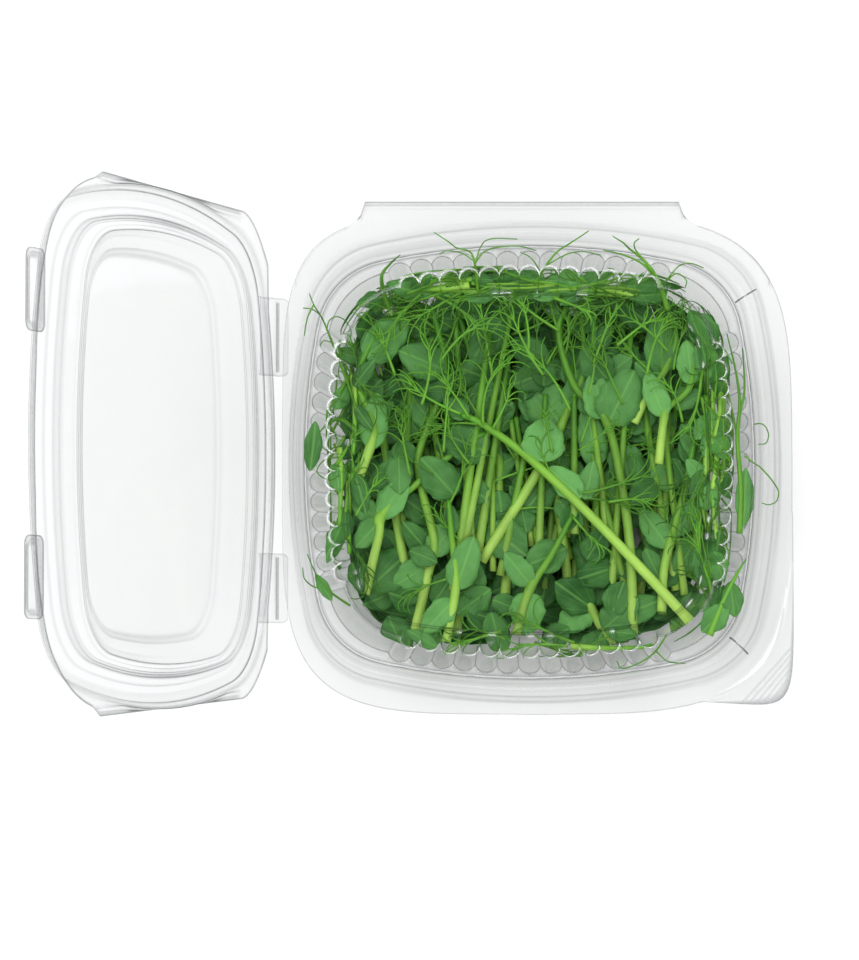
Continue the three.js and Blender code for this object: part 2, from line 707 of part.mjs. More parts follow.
// Each shoot sinks from its wanted height until it is clear of those already placed.
function pileOfShoots(taken) {
  const placed = [];
  const wanted = laidShoots.map((shoot) => ({ shoot, z: LAID_Z }));
  UNDER_LAYERS.forEach(({ count }, layer) => {
    const draw = seeded(101 + layer);
    const z = UNDER_TOP_Z - layer * UNDER_LAYER_DROP;
    for (let i = 0; i < count; i++) wanted.push({ shoot: underShoot(layer, i, draw), z });
  });
  wanted.forEach(({ shoot, z }, index) => {
    const flat = shootSolid(shoot, seeded(7 + index));
    let lift = z;
    let solid = flat.translate([0, 0, lift]);
    const tooNear = (other) => solid.minGap(other, SEARCH_GAP) < SHOOT_GAP;
    const clash = () => [...taken, ...placed].some(tooNear);
    while (clash() && lift > 0) {
      lift -= LIFT_STEP;
      solid = flat.translate([0, 0, lift]);
    }
    if (solid.boundingBox().min[2] < PILE_FLOOR_Z) throw new Error("no room for shoot " + index);
    placed.push(solid);
  });
  return placed;
}

// The object

const object = new THREE.Group();

const tray = new THREE.Group();
const baseSolid = baseTray();
const coverSolid = innerCover();
tray.add(meshOf(baseSolid, "base_tray", clearPlastic));
tray.add(meshOf(coverSolid, "inner_cover", clearPlastic));
pileOfShoots([baseSolid, coverSolid]).forEach((solid, i) => {
  tray.add(meshOf(solid, "shoot_" + String(i + 1).padStart(2, "0"), shootGreen));
});
object.add(tray);

const lidGroup = new THREE.Group();
lidGroup.position.set(HINGE_X, 0, HINGE_Z);
lidGroup.rotation.y = -LID_OPEN_DEG * DEG;
lidGroup.add(meshOf(lid(), "lid", clearPlastic));
object.add(lidGroup);

export default object;
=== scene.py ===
"""Pea shoot microgreens tray: fine surfaces and finishes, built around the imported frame.

A hinged clear tray is filled with cut pea shoots. A clear fluted cover is pressed into its mouth,
and the lid stands open on two thin straps. Lengths below are millimetres unless a name says metres.
"""

import logging
import math
from dataclasses import dataclass, field
from enum import Enum

import bpy
import numpy as np
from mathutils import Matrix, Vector


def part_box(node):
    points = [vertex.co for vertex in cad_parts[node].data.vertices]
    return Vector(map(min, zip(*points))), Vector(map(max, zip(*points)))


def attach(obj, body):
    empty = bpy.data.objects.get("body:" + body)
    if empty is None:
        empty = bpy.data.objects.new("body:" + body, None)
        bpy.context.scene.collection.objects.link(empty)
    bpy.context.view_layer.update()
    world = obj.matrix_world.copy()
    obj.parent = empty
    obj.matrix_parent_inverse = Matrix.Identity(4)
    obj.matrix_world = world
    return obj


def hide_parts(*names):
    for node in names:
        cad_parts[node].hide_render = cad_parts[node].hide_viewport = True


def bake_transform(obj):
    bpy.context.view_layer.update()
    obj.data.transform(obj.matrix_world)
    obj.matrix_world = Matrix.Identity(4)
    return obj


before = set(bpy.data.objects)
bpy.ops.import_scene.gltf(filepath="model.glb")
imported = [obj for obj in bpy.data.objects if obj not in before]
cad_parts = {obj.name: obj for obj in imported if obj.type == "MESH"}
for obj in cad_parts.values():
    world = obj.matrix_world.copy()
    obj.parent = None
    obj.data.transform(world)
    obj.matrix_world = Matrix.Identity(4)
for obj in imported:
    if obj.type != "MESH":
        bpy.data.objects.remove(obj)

log = logging.getLogger("microgreens")
SheetParts = tuple[np.ndarray, list, np.ndarray]
Colour = tuple[float, float, float, float]
Sides = tuple[float, float, float, float]
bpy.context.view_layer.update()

METRES = 0.001
TWO_PI = 2 * math.pi

# Sheet plastic
WALL = 0.55
SIDE_BOW_RADIUS = 240.0
FLUTES_PER_SIDE = 13
POINTS_PER_FLUTE = 8
PLAIN_POINTS_PER_FLUTE = 4
CORNER_POINTS = 18
EDGE_ROWS = 4
BOX_POINTS = 8
BEND_GLINT = 0.15
PLASTIC_IOR = 1.5
FACE_ON_GLOSS = 0.042

# Heights and the hinge, as in the frame
LEDGE_Z = 41.0
FLANGE_Z = 43.0
BEAD_Z = 46.0
COVER_LIP_Z = 41.95
HINGE_X = -84.2
HINGE_Z = 43.5
LID_OPEN = math.radians(113)
STRAPS = ((41.5, 27.0), (-42.4, 24.0))

# Press tab and pull tab
TRAY_TAB = (-55.9, 51.1)
TAB_CREASE_Y = 84.6
TAB_EDGE_Y = 87.1
PULL_TAB_BOTTOM = ((53.0, -79.9), (82.4, -81.6))
PULL_TAB_RIGHT = ((88.0, -75.0), (87.9, -22.0))
PULL_TAB_CORE = (54.0, -18.0)
PULL_TAB_SQUARENESS = 9.0
GRIP_RIDGES = 5
GRIP_PITCH = 2.2

# Ribs over the bead: their places and turns, and their section as reach outwards and height
TICKS = ((72.6, 55.6, 32), (69.8, -61.6, -43))
TICK_OUT = (-4.3, -3.3, -2.0, 0.0, 2.0, 3.3, 4.0)
TICK_TOP = (41.7, 45.0, 45.9, 46.25, 45.9, 44.9, 43.4)
TICK_WIDTH = 0.55
TICK_DEPTH = 0.5

# How far a flange's left, right, back and front edges lie from its middle, and how square its corners are
TRAY_SIDES = (82.6, 87.7, 83.0, 84.3)
BACK_LEFT_SQUARENESS, FRONT_LEFT_SQUARENESS, RIGHT_SQUARENESS = 4.9, 4.4, 4.0
LID_SIDES = (83.0, 83.0, 83.5, 84.3)
LID_MIDDLE = 85.0
LID_SQUARENESS = 3.5

# Camera: above the rim, over the tray's left part
CAMERA_X = -33.4
CAMERA_Y = -75.0
CAMERA_ABOVE_RIM = 1367.0
AIM_Y = -6.2
LENS_MM = 153.75


class Finish(Enum):
    """Names of the record's material slots."""

    PLASTIC = "clear_plastic"
    SHOOT = "pea_shoot"


# Shader helpers


def fill(tree: bpy.types.NodeTree, node: bpy.types.Node, values: dict) -> bpy.types.Node:
    """Sets or links a node's inputs.

    Args:
        tree: The node tree.
        node: The node.
        values: A socket or a plain value for each input, by its name or place. None leaves it as it is.

    Returns:
        The same node.
    """
    for key, value in values.items():
        if isinstance(value, bpy.types.NodeSocket):
            tree.links.new(value, node.inputs[key])
        elif value is not None:
            node.inputs[key].default_value = value
    return node


def new_node(tree: bpy.types.NodeTree, kind: str, values: dict | None = None) -> bpy.types.Node:
    """Adds a node of a kind, such as ShaderNodeBump, and fills its inputs."""
    return fill(tree, tree.nodes.new(kind), values or {})


def use_group(tree: bpy.types.NodeTree, group: bpy.types.NodeTree, values: dict) -> bpy.types.Node:
    """Adds a node that uses a shared group, and fills its inputs."""
    node = tree.nodes.new("ShaderNodeGroup")
    node.node_tree = group
    return fill(tree, node, values)


def math_node(tree: bpy.types.NodeTree, operation: str, first: object, second: object = None) -> object:
    """Adds a math node.

    Args:
        tree: The node tree.
        operation: The operation's name.
        first: A socket or a number.
        second: A socket or a number, if the operation has two.

    Returns:
        The node's output socket.
    """
    node = tree.nodes.new("ShaderNodeMath")
    node.operation = operation
    return fill(tree, node, {0: first, 1: second}).outputs[0]


def mix_colour(tree: bpy.types.NodeTree, factor: object, first: object, second: object, blend: str = "MIX") -> object:
    """Adds a colour mix.

    Args:
        tree: The node tree.
        factor: A socket or a number.
        first: The colour at 0, a socket or four numbers.
        second: The colour at 1, a socket or four numbers.
        blend: How the two are mixed.

    Returns:
        The mixed colour's socket.
    """
    node = tree.nodes.new("ShaderNodeMix")
    node.data_type = "RGBA"
    node.blend_type = blend
    return fill(tree, node, {0: factor, 6: first, 7: second}).outputs[2]


def bumped(tree: bpy.types.NodeTree, height: object, distance: float, strength: float) -> object:
    """Adds a bump.

    Args:
        tree: The node tree.
        height: The height's socket, 0 to 1.
        distance: How high 1 is, in metres.
        strength: How strongly it shows.

    Returns:
        The bumped normal's socket.
    """
    values = {"Distance": distance, "Strength": strength, "Height": height}
    return new_node(tree, "ShaderNodeBump", values).outputs["Normal"]


def attribute(tree: bpy.types.NodeTree, name: str) -> bpy.types.Node:
    """Adds a node that reads one of the mesh's own attributes."""
    node = tree.nodes.new("ShaderNodeAttribute")
    node.attribute_name = name
    return node


def new_material(name: str) -> tuple[bpy.types.Material, bpy.types.NodeTree, bpy.types.Node]:
    """Makes an empty node material.

    Args:
        name: The material's name.

    Returns:
        The material, its tree and its output node.
    """
    material = bpy.data.materials.new(name)
    material.use_nodes = True
    tree = material.node_tree
    tree.nodes.clear()
    return material, tree, tree.nodes.new("ShaderNodeOutputMaterial")


def new_group(name: str, inputs: dict, outputs: dict) -> tuple[bpy.types.NodeTree, bpy.types.Node, bpy.types.Node]:
    """Starts a node group with named sockets.

    Args:
        name: The group's name.
        inputs: Each input's default, a number or a colour, by the input's name.
        outputs: Each output's kind, Float or Color, by the output's name.

    Returns:
        The group, its input node and its output node.
    """
    group = bpy.data.node_groups.new(name, "ShaderNodeTree")
    for label, value in inputs.items():
        kind = "NodeSocketColor" if isinstance(value, tuple) else "NodeSocketFloat"
        group.interface.new_socket(name=label, in_out="INPUT", socket_type=kind).default_value = value
    for label, kind in outputs.items():
        group.interface.new_socket(name=label, in_out="OUTPUT", socket_type=f"NodeSocket{kind}")
    return group, group.nodes.new("NodeGroupInput"), group.nodes.new("NodeGroupOutput")


def sheet_ripple_group() -> bpy.types.NodeTree:
    """The faint waviness of vacuum-formed sheet, as a height.

    Returns:
        The node group, with Scale and Strength in and Height out.
    """
    group, source, sink = new_group("sheet_ripple", {"Scale": 60.0, "Strength": 1.0}, {"Height": "Float"})
    place = new_node(group, "ShaderNodeTexCoord").outputs["Object"]
    values = {"Detail": 1.5, "Vector": place, "Scale": source.outputs["Scale"]}
    wide = new_node(group, "ShaderNodeTexNoise", values)
    fill(group, sink, {"Height": math_node(group, "MULTIPLY", wide.outputs["Fac"], source.outputs["Strength"])})
    return group


def plant_tone_and_shade_group() -> bpy.types.NodeTree:
    """Mottling and part-to-part tone of plant tissue, mixed by each part's tone, which for parts deeper in the pile is
    darkened as painted shade.

    Returns:
        The node group, with Dark, Light, ToneAndShade and Scale in, and Color and Fleck out.
    """
    inputs = {"Dark": (0.02, 0.08, 0.01, 1), "Light": (0.1, 0.3, 0.05, 1), "ToneAndShade": 0.5, "Scale": 300.0}
    group, source, sink = new_group("plant_tone_and_shade", inputs, {"Color": "Color", "Fleck": "Float"})
    place = new_node(group, "ShaderNodeTexCoord").outputs["Object"]
    noises = []
    for detail, times in ((2.0, 0.35), (3.0, 4.0)):
        scale = math_node(group, "MULTIPLY", source.outputs["Scale"], times)
        noise = new_node(group, "ShaderNodeTexNoise", {"Detail": detail, "Scale": scale, "Vector": place})
        noises.append(noise.outputs["Fac"])
    broad, fine = noises
    shift = math_node(group, "MULTIPLY", math_node(group, "SUBTRACT", broad, 0.5), 0.7)
    tone_and_shade = math_node(group, "ADD", source.outputs["ToneAndShade"], shift)
    clipped = math_node(group, "MAXIMUM", math_node(group, "MINIMUM", tone_and_shade, 1.0), 0.0)
    colour = mix_colour(group, clipped, source.outputs["Dark"], source.outputs["Light"])
    fill(group, sink, {"Color": colour, "Fleck": fine})
    return group


@dataclass(frozen=True)
class ClearSheet:
    """Thin clear plastic: nearly invisible face on, grey and mirror-like where it turns away. The grey there, and the
    darker grey along its bends, are painted shade; the mirror share is a real reflection, and the glints are painted
    highlights.
    """

    name: str
    ripple_scale: float
    ripple: float
    # The face-on tint is the sheet's own see-through tint; the grey where the sheet turns away and the grey along its
    # bends are painted shade.
    steep_shade_grey: Colour = (0.74, 0.75, 0.76, 1.0)
    face_tint: Colour = (0.963, 0.965, 0.968, 1.0)
    bend_shade_grey: Colour = (0.3, 0.31, 0.32, 1.0)
    shade: Colour = (0.975, 0.975, 0.975, 1.0)
    edge_power: float = 7.0
    mirror: float = 0.55
    line: float = 0.75
    shine: float = 0.3

    def make(self, ripple: bpy.types.NodeTree) -> bpy.types.Material:
        """Builds the material.

        Args:
            ripple: The shared sheet_ripple group.

        Returns:
            The finished material.
        """
        material, tree, output = new_material(self.name)
        wave = use_group(tree, ripple, {"Scale": self.ripple_scale, "Strength": self.ripple})
        normal = bumped(tree, wave.outputs["Height"], 0.0004, 0.35)
        facing = new_node(tree, "ShaderNodeLayerWeight", {"Blend": 0.5, "Normal": normal})
        # Painted shade: the sheet goes grey where it is steep to the view, and darker grey along its marked bends, in
        # place of the darker surroundings that real clear sheet reflects and refracts there.
        steep = math_node(tree, "POWER", facing.outputs["Facing"], self.edge_power)
        turned = mix_colour(tree, steep, self.face_tint, self.steep_shade_grey)
        bend = attribute(tree, "bend").outputs["Fac"]
        line = math_node(tree, "MULTIPLY", math_node(tree, "POWER", bend, 1.4), self.line)
        tint_and_shade = mix_colour(tree, line, turned, self.bend_shade_grey)
        seen = new_node(tree, "ShaderNodeLightPath").outputs["Is Camera Ray"]
        shaded = mix_colour(tree, seen, self.shade, tint_and_shade)
        clear = new_node(tree, "ShaderNodeBsdfTransparent", {"Color": shaded})
        values = {"Base Color": (0.95, 0.96, 0.96, 1), "Metallic": 1.0, "Roughness": 0.06, "Normal": normal}
        gloss = new_node(tree, "ShaderNodeBsdfPrincipled", values)
        behind = new_node(tree, "ShaderNodeNewGeometry").outputs["Backfacing"]
        inside = math_node(tree, "MULTIPLY", behind, PLASTIC_IOR - 1 / PLASTIC_IOR)
        ior = math_node(tree, "SUBTRACT", PLASTIC_IOR, inside)
        fresnel = new_node(tree, "ShaderNodeFresnel", {"IOR": ior, "Normal": normal}).outputs["Fac"]
        above = math_node(tree, "MAXIMUM", math_node(tree, "SUBTRACT", fresnel, FACE_ON_GLOSS), 0.0)
        glint = math_node(tree, "MULTIPLY", attribute(tree, "glint").outputs["Fac"], self.shine)
        share = math_node(tree, "ADD", math_node(tree, "MULTIPLY", above, self.mirror), glint)
        share = math_node(tree, "MULTIPLY", share, seen)
        mix = new_node(tree, "ShaderNodeMixShader", {0: share, 1: clear.outputs[0], 2: gloss.outputs[0]})
        fill(tree, output, {"Surface": mix.outputs[0]})
        return material


@dataclass(frozen=True)
class LeafSkin:
    """The waxy blue-green leaf, with pale veins that fan out from its base."""

    name: str = "pea_leaf"
    # Leaves are mixed from the dark to the light colour by their tone, partly random and partly painted shade that
    # darkens leaves deeper in the pile.
    dark: Colour = (0.006, 0.06, 0.004, 1)
    light: Colour = (0.115, 0.33, 0.08, 1)
    vein: Colour = (0.17, 0.42, 0.09, 1)

    def make(self, tone_and_shade: bpy.types.NodeTree) -> bpy.types.Material:
        """Builds the material.

        Args:
            tone_and_shade: The shared plant_tone_and_shade group.

        Returns:
            The finished material.
        """
        material, tree, output = new_material(self.name)
        split = new_node(tree, "ShaderNodeSeparateXYZ", {0: attribute(tree, "spot").outputs["Vector"]})
        across = math_node(tree, "ABSOLUTE", split.outputs["Y"])
        midrib = math_node(tree, "SUBTRACT", 1.0, math_node(tree, "MULTIPLY", across, 26.0))
        ahead = math_node(tree, "ADD", split.outputs["X"], 0.06)
        fan = math_node(tree, "MULTIPLY", math_node(tree, "ARCTAN2", across, ahead), 3.1)
        off = math_node(tree, "ABSOLUTE", math_node(tree, "SUBTRACT", math_node(tree, "FRACT", fan), 0.5))
        wide = math_node(tree, "MULTIPLY", math_node(tree, "SUBTRACT", 0.075, off), 12.0)
        side = math_node(tree, "MULTIPLY", wide, math_node(tree, "SUBTRACT", 1.05, split.outputs["X"]))
        veins = math_node(tree, "MAXIMUM", math_node(tree, "MAXIMUM", midrib, side), 0.0)
        veins = math_node(tree, "MINIMUM", veins, 1.0)
        piece_tone_and_shade = attribute(tree, "tone_and_shade").outputs["Fac"]
        values = {"Dark": self.dark, "Light": self.light, "Scale": 320.0, "ToneAndShade": piece_tone_and_shade}
        shade = use_group(tree, tone_and_shade, values)
        colour = mix_colour(tree, math_node(tree, "MULTIPLY", veins, 0.42), shade.outputs["Color"], self.vein)
        rough = math_node(tree, "ADD", math_node(tree, "MULTIPLY", shade.outputs["Fleck"], 0.25), 0.42)
        relief = math_node(tree, "SUBTRACT", math_node(tree, "MULTIPLY", shade.outputs["Fleck"], 0.5), veins)
        normal = bumped(tree, relief, 0.0003, 0.5)
        values = {"Base Color": colour, "Roughness": rough, "Specular IOR Level": 0.22, "Normal": normal}
        skin = new_node(tree, "ShaderNodeBsdfPrincipled", values)
        fill(tree, output, {"Surface": skin.outputs[0]})
        return material


@dataclass(frozen=True)
class StemSkin:
    """Stem and tendril skin, pale at the cut end and green towards the tip."""

    name: str = "pea_stem"
    cut_end: Colour = (0.42, 0.66, 0.12, 1)
    middle: Colour = (0.19, 0.44, 0.04, 1)
    tip: Colour = (0.07, 0.29, 0.015, 1)
    shadow: Colour = (0.12, 0.2, 0.1, 1)

    def make(self, tone_and_shade: bpy.types.NodeTree) -> bpy.types.Material:
        """Builds the material.

        Args:
            tone_and_shade: The shared plant_tone_and_shade group.

        Returns:
            The finished material.
        """
        material, tree, output = new_material(self.name)
        ramp = new_node(tree, "ShaderNodeValToRGB", {"Fac": attribute(tree, "along").outputs["Fac"]})
        ramp.color_ramp.elements[0].color = self.cut_end
        ramp.color_ramp.elements[1].color = self.tip
        ramp.color_ramp.elements.new(0.45).color = self.middle
        piece_tone_and_shade = attribute(tree, "tone_and_shade").outputs["Fac"]
        values = {"Dark": self.shadow, "Light": (1.0, 1.0, 1.0, 1), "Scale": 260.0, "ToneAndShade": piece_tone_and_shade}
        shade = use_group(tree, tone_and_shade, values)
        # Painted shade: the stem is multiplied down towards the shadow colour by its tone, which is darker for stems
        # deeper in the pile.
        colour = mix_colour(tree, 1.0, ramp.outputs["Color"], shade.outputs["Color"], "MULTIPLY")
        normal = bumped(tree, shade.outputs["Fleck"], 0.0002, 0.4)
        values = {"Base Color": colour, "Roughness": 0.42, "Specular IOR Level": 0.28, "Normal": normal}
        skin = new_node(tree, "ShaderNodeBsdfPrincipled", values)
        fill(tree, output, {"Surface": skin.outputs[0]})
        return material


# Outlines and sheets


@dataclass(frozen=True)
class Station:
    """One outline of a formed sheet: a rounded square with bowed sides, at one height."""

    half_x: float
    half_y: float
    corner: float
    z: float
    mid_x: float = 0.0
    mid_y: float = 0.0
    flute: float = 0.0
    fillet: float = 0.8

    def row(self) -> np.ndarray:
        """The numbers that blend from one station to the next."""
        return np.array([self.half_x, self.half_y, self.corner, self.z, self.mid_x, self.mid_y, self.flute])


def corner_centre(half_x: float, half_y: float, corner: float) -> tuple[float, float]:
    """Where a corner arc has its centre, so that it meets both bowed sides smoothly."""
    reach = SIDE_BOW_RADIUS - corner
    x, y = half_x - corner, half_y - corner
    for _ in range(30):
        x = half_x - SIDE_BOW_RADIUS + math.sqrt(reach * reach - y * y)
        y = half_y - SIDE_BOW_RADIUS + math.sqrt(reach * reach - x * x)
    return x, y


def outline(row: np.ndarray, per_flute: int = POINTS_PER_FLUTE) -> np.ndarray:
    """The closed outline of one row.

    Args:
        row: The numbers of a station.
        per_flute: How many points there are in the width of a flute.

    Returns:
        An array of points, counterclockwise from the +X side's lower end.
    """
    half_x, half_y, corner, _, mid_x, mid_y, flute = row
    cx, cy = corner_centre(half_x, half_y, corner)
    parts = []
    for side in range(4):
        along, other = (half_x, half_y) if side % 2 == 0 else (half_y, half_x)
        near, far = (cx, cy) if side % 2 == 0 else (cy, cx)
        spread = math.atan2(far, near - along + SIDE_BOW_RADIUS)
        count = FLUTES_PER_SIDE * per_flute
        step = np.arange(count)
        on_flute = 0.5 - 0.5 * np.cos(math.pi * (step % per_flute) / per_flute)
        place = (step // per_flute + on_flute) / FLUTES_PER_SIDE
        angle = spread * (2 * place - 1)
        swell = np.zeros(count)
        if flute > 1e-6:
            pitch_half = spread * SIDE_BOW_RADIUS / FLUTES_PER_SIDE
            flute_radius = (pitch_half**2 + flute**2) / (2 * flute)
            off = (on_flute - 0.5) * 2 * pitch_half
            swell = np.sqrt(np.maximum(flute_radius**2 - off**2, 0)) - (flute_radius - flute)
        radius = SIDE_BOW_RADIUS + swell
        u = along - SIDE_BOW_RADIUS + radius * np.cos(angle)
        v = radius * np.sin(angle)
        next_spread = math.atan2(near, far - other + SIDE_BOW_RADIUS)
        sweep = math.pi / 2 - spread - next_spread
        turn = spread + sweep * np.arange(CORNER_POINTS) / CORNER_POINTS
        u = np.concatenate([u, near + corner * np.cos(turn)])
        v = np.concatenate([v, far + corner * np.sin(turn)])
        c, s = math.cos(side * math.pi / 2), math.sin(side * math.pi / 2)
        parts.append(np.stack([mid_x + u * c - v * s, mid_y + u * s + v * c], axis=1))
    return np.concatenate(parts)


def rounded_rows(stations: list[Station], steps: int = 5, spacing: float = 4.0) -> np.ndarray:
    """Rounds the section's bends and adds rows along its long stretches.

    Args:
        stations: The stations, from the middle outwards.
        steps: Rows in each bend.
        spacing: The most that two rows may be apart.

    Returns:
        The rows, one a line.
    """
    rows = [stations[0].row()]
    for before, here, after in zip(stations, stations[1:], stations[2:]):
        a, b, c = before.row(), here.row(), after.row()
        first = math.hypot(b[0] - a[0], b[3] - a[3])
        second = math.hypot(c[0] - b[0], c[3] - b[3])
        start = b + (a - b) * min(0.48, here.fillet / max(first, 1e-6))
        end = b + (c - b) * min(0.48, here.fillet / max(second, 1e-6))
        for t in np.linspace(0, 1, steps):
            rows.append((1 - t) ** 2 * start + 2 * t * (1 - t) * b + t * t * end)
    rows.append(stations[-1].row())
    dense = [rows[0]]
    for a, b in zip(rows, rows[1:]):
        count = max(1, math.ceil(math.hypot(b[0] - a[0], b[3] - a[3]) / spacing))
        dense += [a + (b - a) * k / count for k in range(1, count + 1)]
    return np.array(dense)


def under_rows(rows: np.ndarray, wall: float) -> np.ndarray:
    """The same rows one sheet's thickness below, square to the section."""
    tangent = np.gradient(rows[:, [0, 3]], axis=0)
    tangent /= np.maximum(np.linalg.norm(tangent, axis=1, keepdims=True), 1e-9)
    moved = rows.copy()
    moved[:, 0] += tangent[:, 1] * wall
    moved[:, 1] += tangent[:, 1] * wall
    moved[:, 2] += tangent[:, 1] * wall
    moved[:, 3] -= tangent[:, 0] * wall
    return moved


def surface_of(rows: np.ndarray, per_flute: int = POINTS_PER_FLUTE) -> np.ndarray:
    """Every row's outline at its height, as rows × points × 3."""
    rings = []
    for row in rows:
        flat = outline(row, per_flute)
        rings.append(np.column_stack([flat, np.full(len(flat), row[3])]))
    return np.array(rings)


def bend_of(surface: np.ndarray) -> np.ndarray:
    """How sharply a surface bends at each point, 0 flat to 1 at a tight bend.

    Args:
        surface: Rows × points × 3.

    Returns:
        Rows × points.
    """
    down = np.gradient(surface, axis=0)
    round_ = np.roll(surface, -1, axis=1) - np.roll(surface, 1, axis=1)
    normal = np.cross(round_, down)
    normal /= np.maximum(np.linalg.norm(normal, axis=2, keepdims=True), 1e-9)
    turn_down = np.linalg.norm(np.gradient(normal, axis=0), axis=2)
    step_down = np.maximum(np.linalg.norm(down, axis=2), 0.12)
    turn_round = np.linalg.norm(np.roll(normal, -1, axis=1) - np.roll(normal, 1, axis=1), axis=2)
    step_round = np.maximum(np.linalg.norm(round_, axis=2), 0.3)
    return np.clip(np.maximum(turn_down / step_down, turn_round / step_round) * 0.75, 0, 1)


def store(mesh: bpy.types.Mesh, label: str, values: np.ndarray) -> None:
    """Stores one number at each point of a mesh."""
    mesh.attributes.new(label, "FLOAT", "POINT").data.foreach_set("value", values.astype(np.float32))


def closed_sheet(upper: np.ndarray, lower: np.ndarray) -> SheetParts:
    """Joins an upper and a lower surface into one closed skin.

    Args:
        upper: Rows × points × 3, from the middle outwards.
        lower: The matching lower surface.

    Returns:
        The vertices, the faces and the bend at each vertex.
    """
    rings = np.concatenate([lower, upper[::-1]])
    count, points = rings.shape[:2]
    vertices = rings.reshape(-1, 3)
    faces = []
    for r in range(count - 1):
        a = r * points + np.arange(points)
        b = r * points + (np.arange(points) + 1) % points
        faces += list(zip(a, b, b + points, a + points))
    faces = [tuple(int(v) for v in face) for face in faces]
    middle_low, middle_high = len(vertices), len(vertices) + 1
    ends = np.array([rings[0].mean(axis=0), rings[-1].mean(axis=0)])
    last = (count - 1) * points
    for k in range(points):
        after = (k + 1) % points
        faces.append((middle_low, after, k))
        faces.append((middle_high, last + k, last + after))
    sharp = [bend_of(lower), bend_of(upper)]
    # The outer rows are marked as tight bends, which gives the sheet's cut edge a painted dark line and a little
    # painted glint.
    for rows in sharp:
        rows[-1] = np.maximum(rows[-1], 0.8)
    bends = np.concatenate([sharp[0].ravel(), sharp[1][::-1].ravel(), np.zeros(2)])
    return np.concatenate([vertices, ends]), faces, bends


def make_object(name: str, vertices: np.ndarray, faces: list, smooth_under: float = 40.0) -> bpy.types.Object:
    """Makes a mesh object from millimetre vertices.

    Args:
        name: The piece's name.
        vertices: The points, in millimetres.
        faces: The faces, as tuples of indices.
        smooth_under: Edges flatter than this many degrees are shaded smooth.

    Returns:
        The linked object.
    """
    mesh = bpy.data.meshes.new(name)
    mesh.from_pydata((vertices * METRES).tolist(), [], faces)
    mesh.shade_smooth()
    if smooth_under < 180:
        mesh.set_sharp_from_angle(angle=math.radians(smooth_under))
    return placed(name, mesh)


def placed(name: str, data: object) -> bpy.types.Object:
    """Makes an object of a mesh, a camera or a lamp, and puts it into the scene."""
    thing = bpy.data.objects.new(name, data)
    bpy.context.scene.collection.objects.link(thing)
    return thing


def sheet_piece(
    name: str,
    parts: SheetParts,
    material: bpy.types.Material,
    glints: np.ndarray | None = None,
    smooth_under: float = 40.0,
) -> bpy.types.Object:
    """Makes a piece of clear sheet.

    Args:
        name: The piece's name.
        parts: Its points, its faces and how sharply it bends at each point.
        material: The clear sheet finish.
        glints: How much it glints at each point, or None for a little on every bend.
        smooth_under: Edges flatter than this many degrees are shaded smooth.

    Returns:
        The linked object.
    """
    vertices, faces, bends = parts
    piece = make_object(name, vertices, faces, smooth_under)
    store(piece.data, "bend", bends)
    store(piece.data, "glint", bends * BEND_GLINT if glints is None else glints)
    piece.data.materials.append(material)
    return piece


def slab_faces(rows: int, columns: int) -> list[tuple[int, ...]]:
    """The faces of a thin slab: an upper and a lower grid of points, joined round their rim.

    Args:
        rows: How many rows of points each grid has.
        columns: How many points there are in a row.

    Returns:
        The faces, as tuples of indices, with the upper grid's points first.
    """
    count = rows * columns
    faces = []
    for r in range(rows - 1):
        for c in range(columns - 1):
            a, b = r * columns + c, r * columns + c + 1
            faces.append((a, a + columns, b + columns, b))
            faces.append((b + count, b + columns + count, a + columns + count, a + count))
    rim = [(r * columns, (r + 1) * columns) for r in range(rows - 1)]
    rim += [((rows - 1) * columns + c, (rows - 1) * columns + c + 1) for c in range(columns - 1)]
    rim += [((r + 1) * columns - 1, r * columns - 1) for r in range(rows - 1, 0, -1)]
    rim += [(c + 1, c) for c in range(columns - 2, -1, -1)]
    return faces + [(b, a, a + count, b + count) for a, b in rim]


def box_parts(length: float, width: float, height: float, centre: tuple, turn: float, bend: float) -> SheetParts:
    """A small box, as vertices and faces.

    Args:
        length: Its size along its own x.
        width: Its size along its own y.
        height: Its size along z.
        centre: Where its middle is.
        turn: How far it is turned about z, in radians.
        bend: The bend to mark on it, which sets how much painted shade darkens it.

    Returns:
        The vertices, the faces and the bend at each vertex.
    """
    square = ((-0.5, -0.5), (0.5, -0.5), (0.5, 0.5), (-0.5, 0.5))
    u, v, w = (np.array([(x, y, z) for z in (-0.5, 0.5) for x, y in square]) * (length, width, height)).T
    c, s = math.cos(turn), math.sin(turn)
    turned = np.column_stack([u * c - v * s, u * s + v * c, w])
    faces = [(3, 2, 1, 0), (4, 5, 6, 7)] + [(k, (k + 1) % 4, 4 + (k + 1) % 4, 4 + k) for k in range(4)]
    return turned + np.array(centre), faces, np.full(BOX_POINTS, bend)


def join_parts(parts: list[SheetParts]) -> SheetParts:
    """Joins several parts into one."""
    vertices, faces, bends, start = [], [], [], 0
    for points, polygons, sharpness in parts:
        vertices.append(points)
        bends.append(sharpness)
        faces += [tuple(int(i) + start for i in polygon) for polygon in polygons]
        start += len(points)
    return np.concatenate(vertices), faces, np.concatenate(bends)


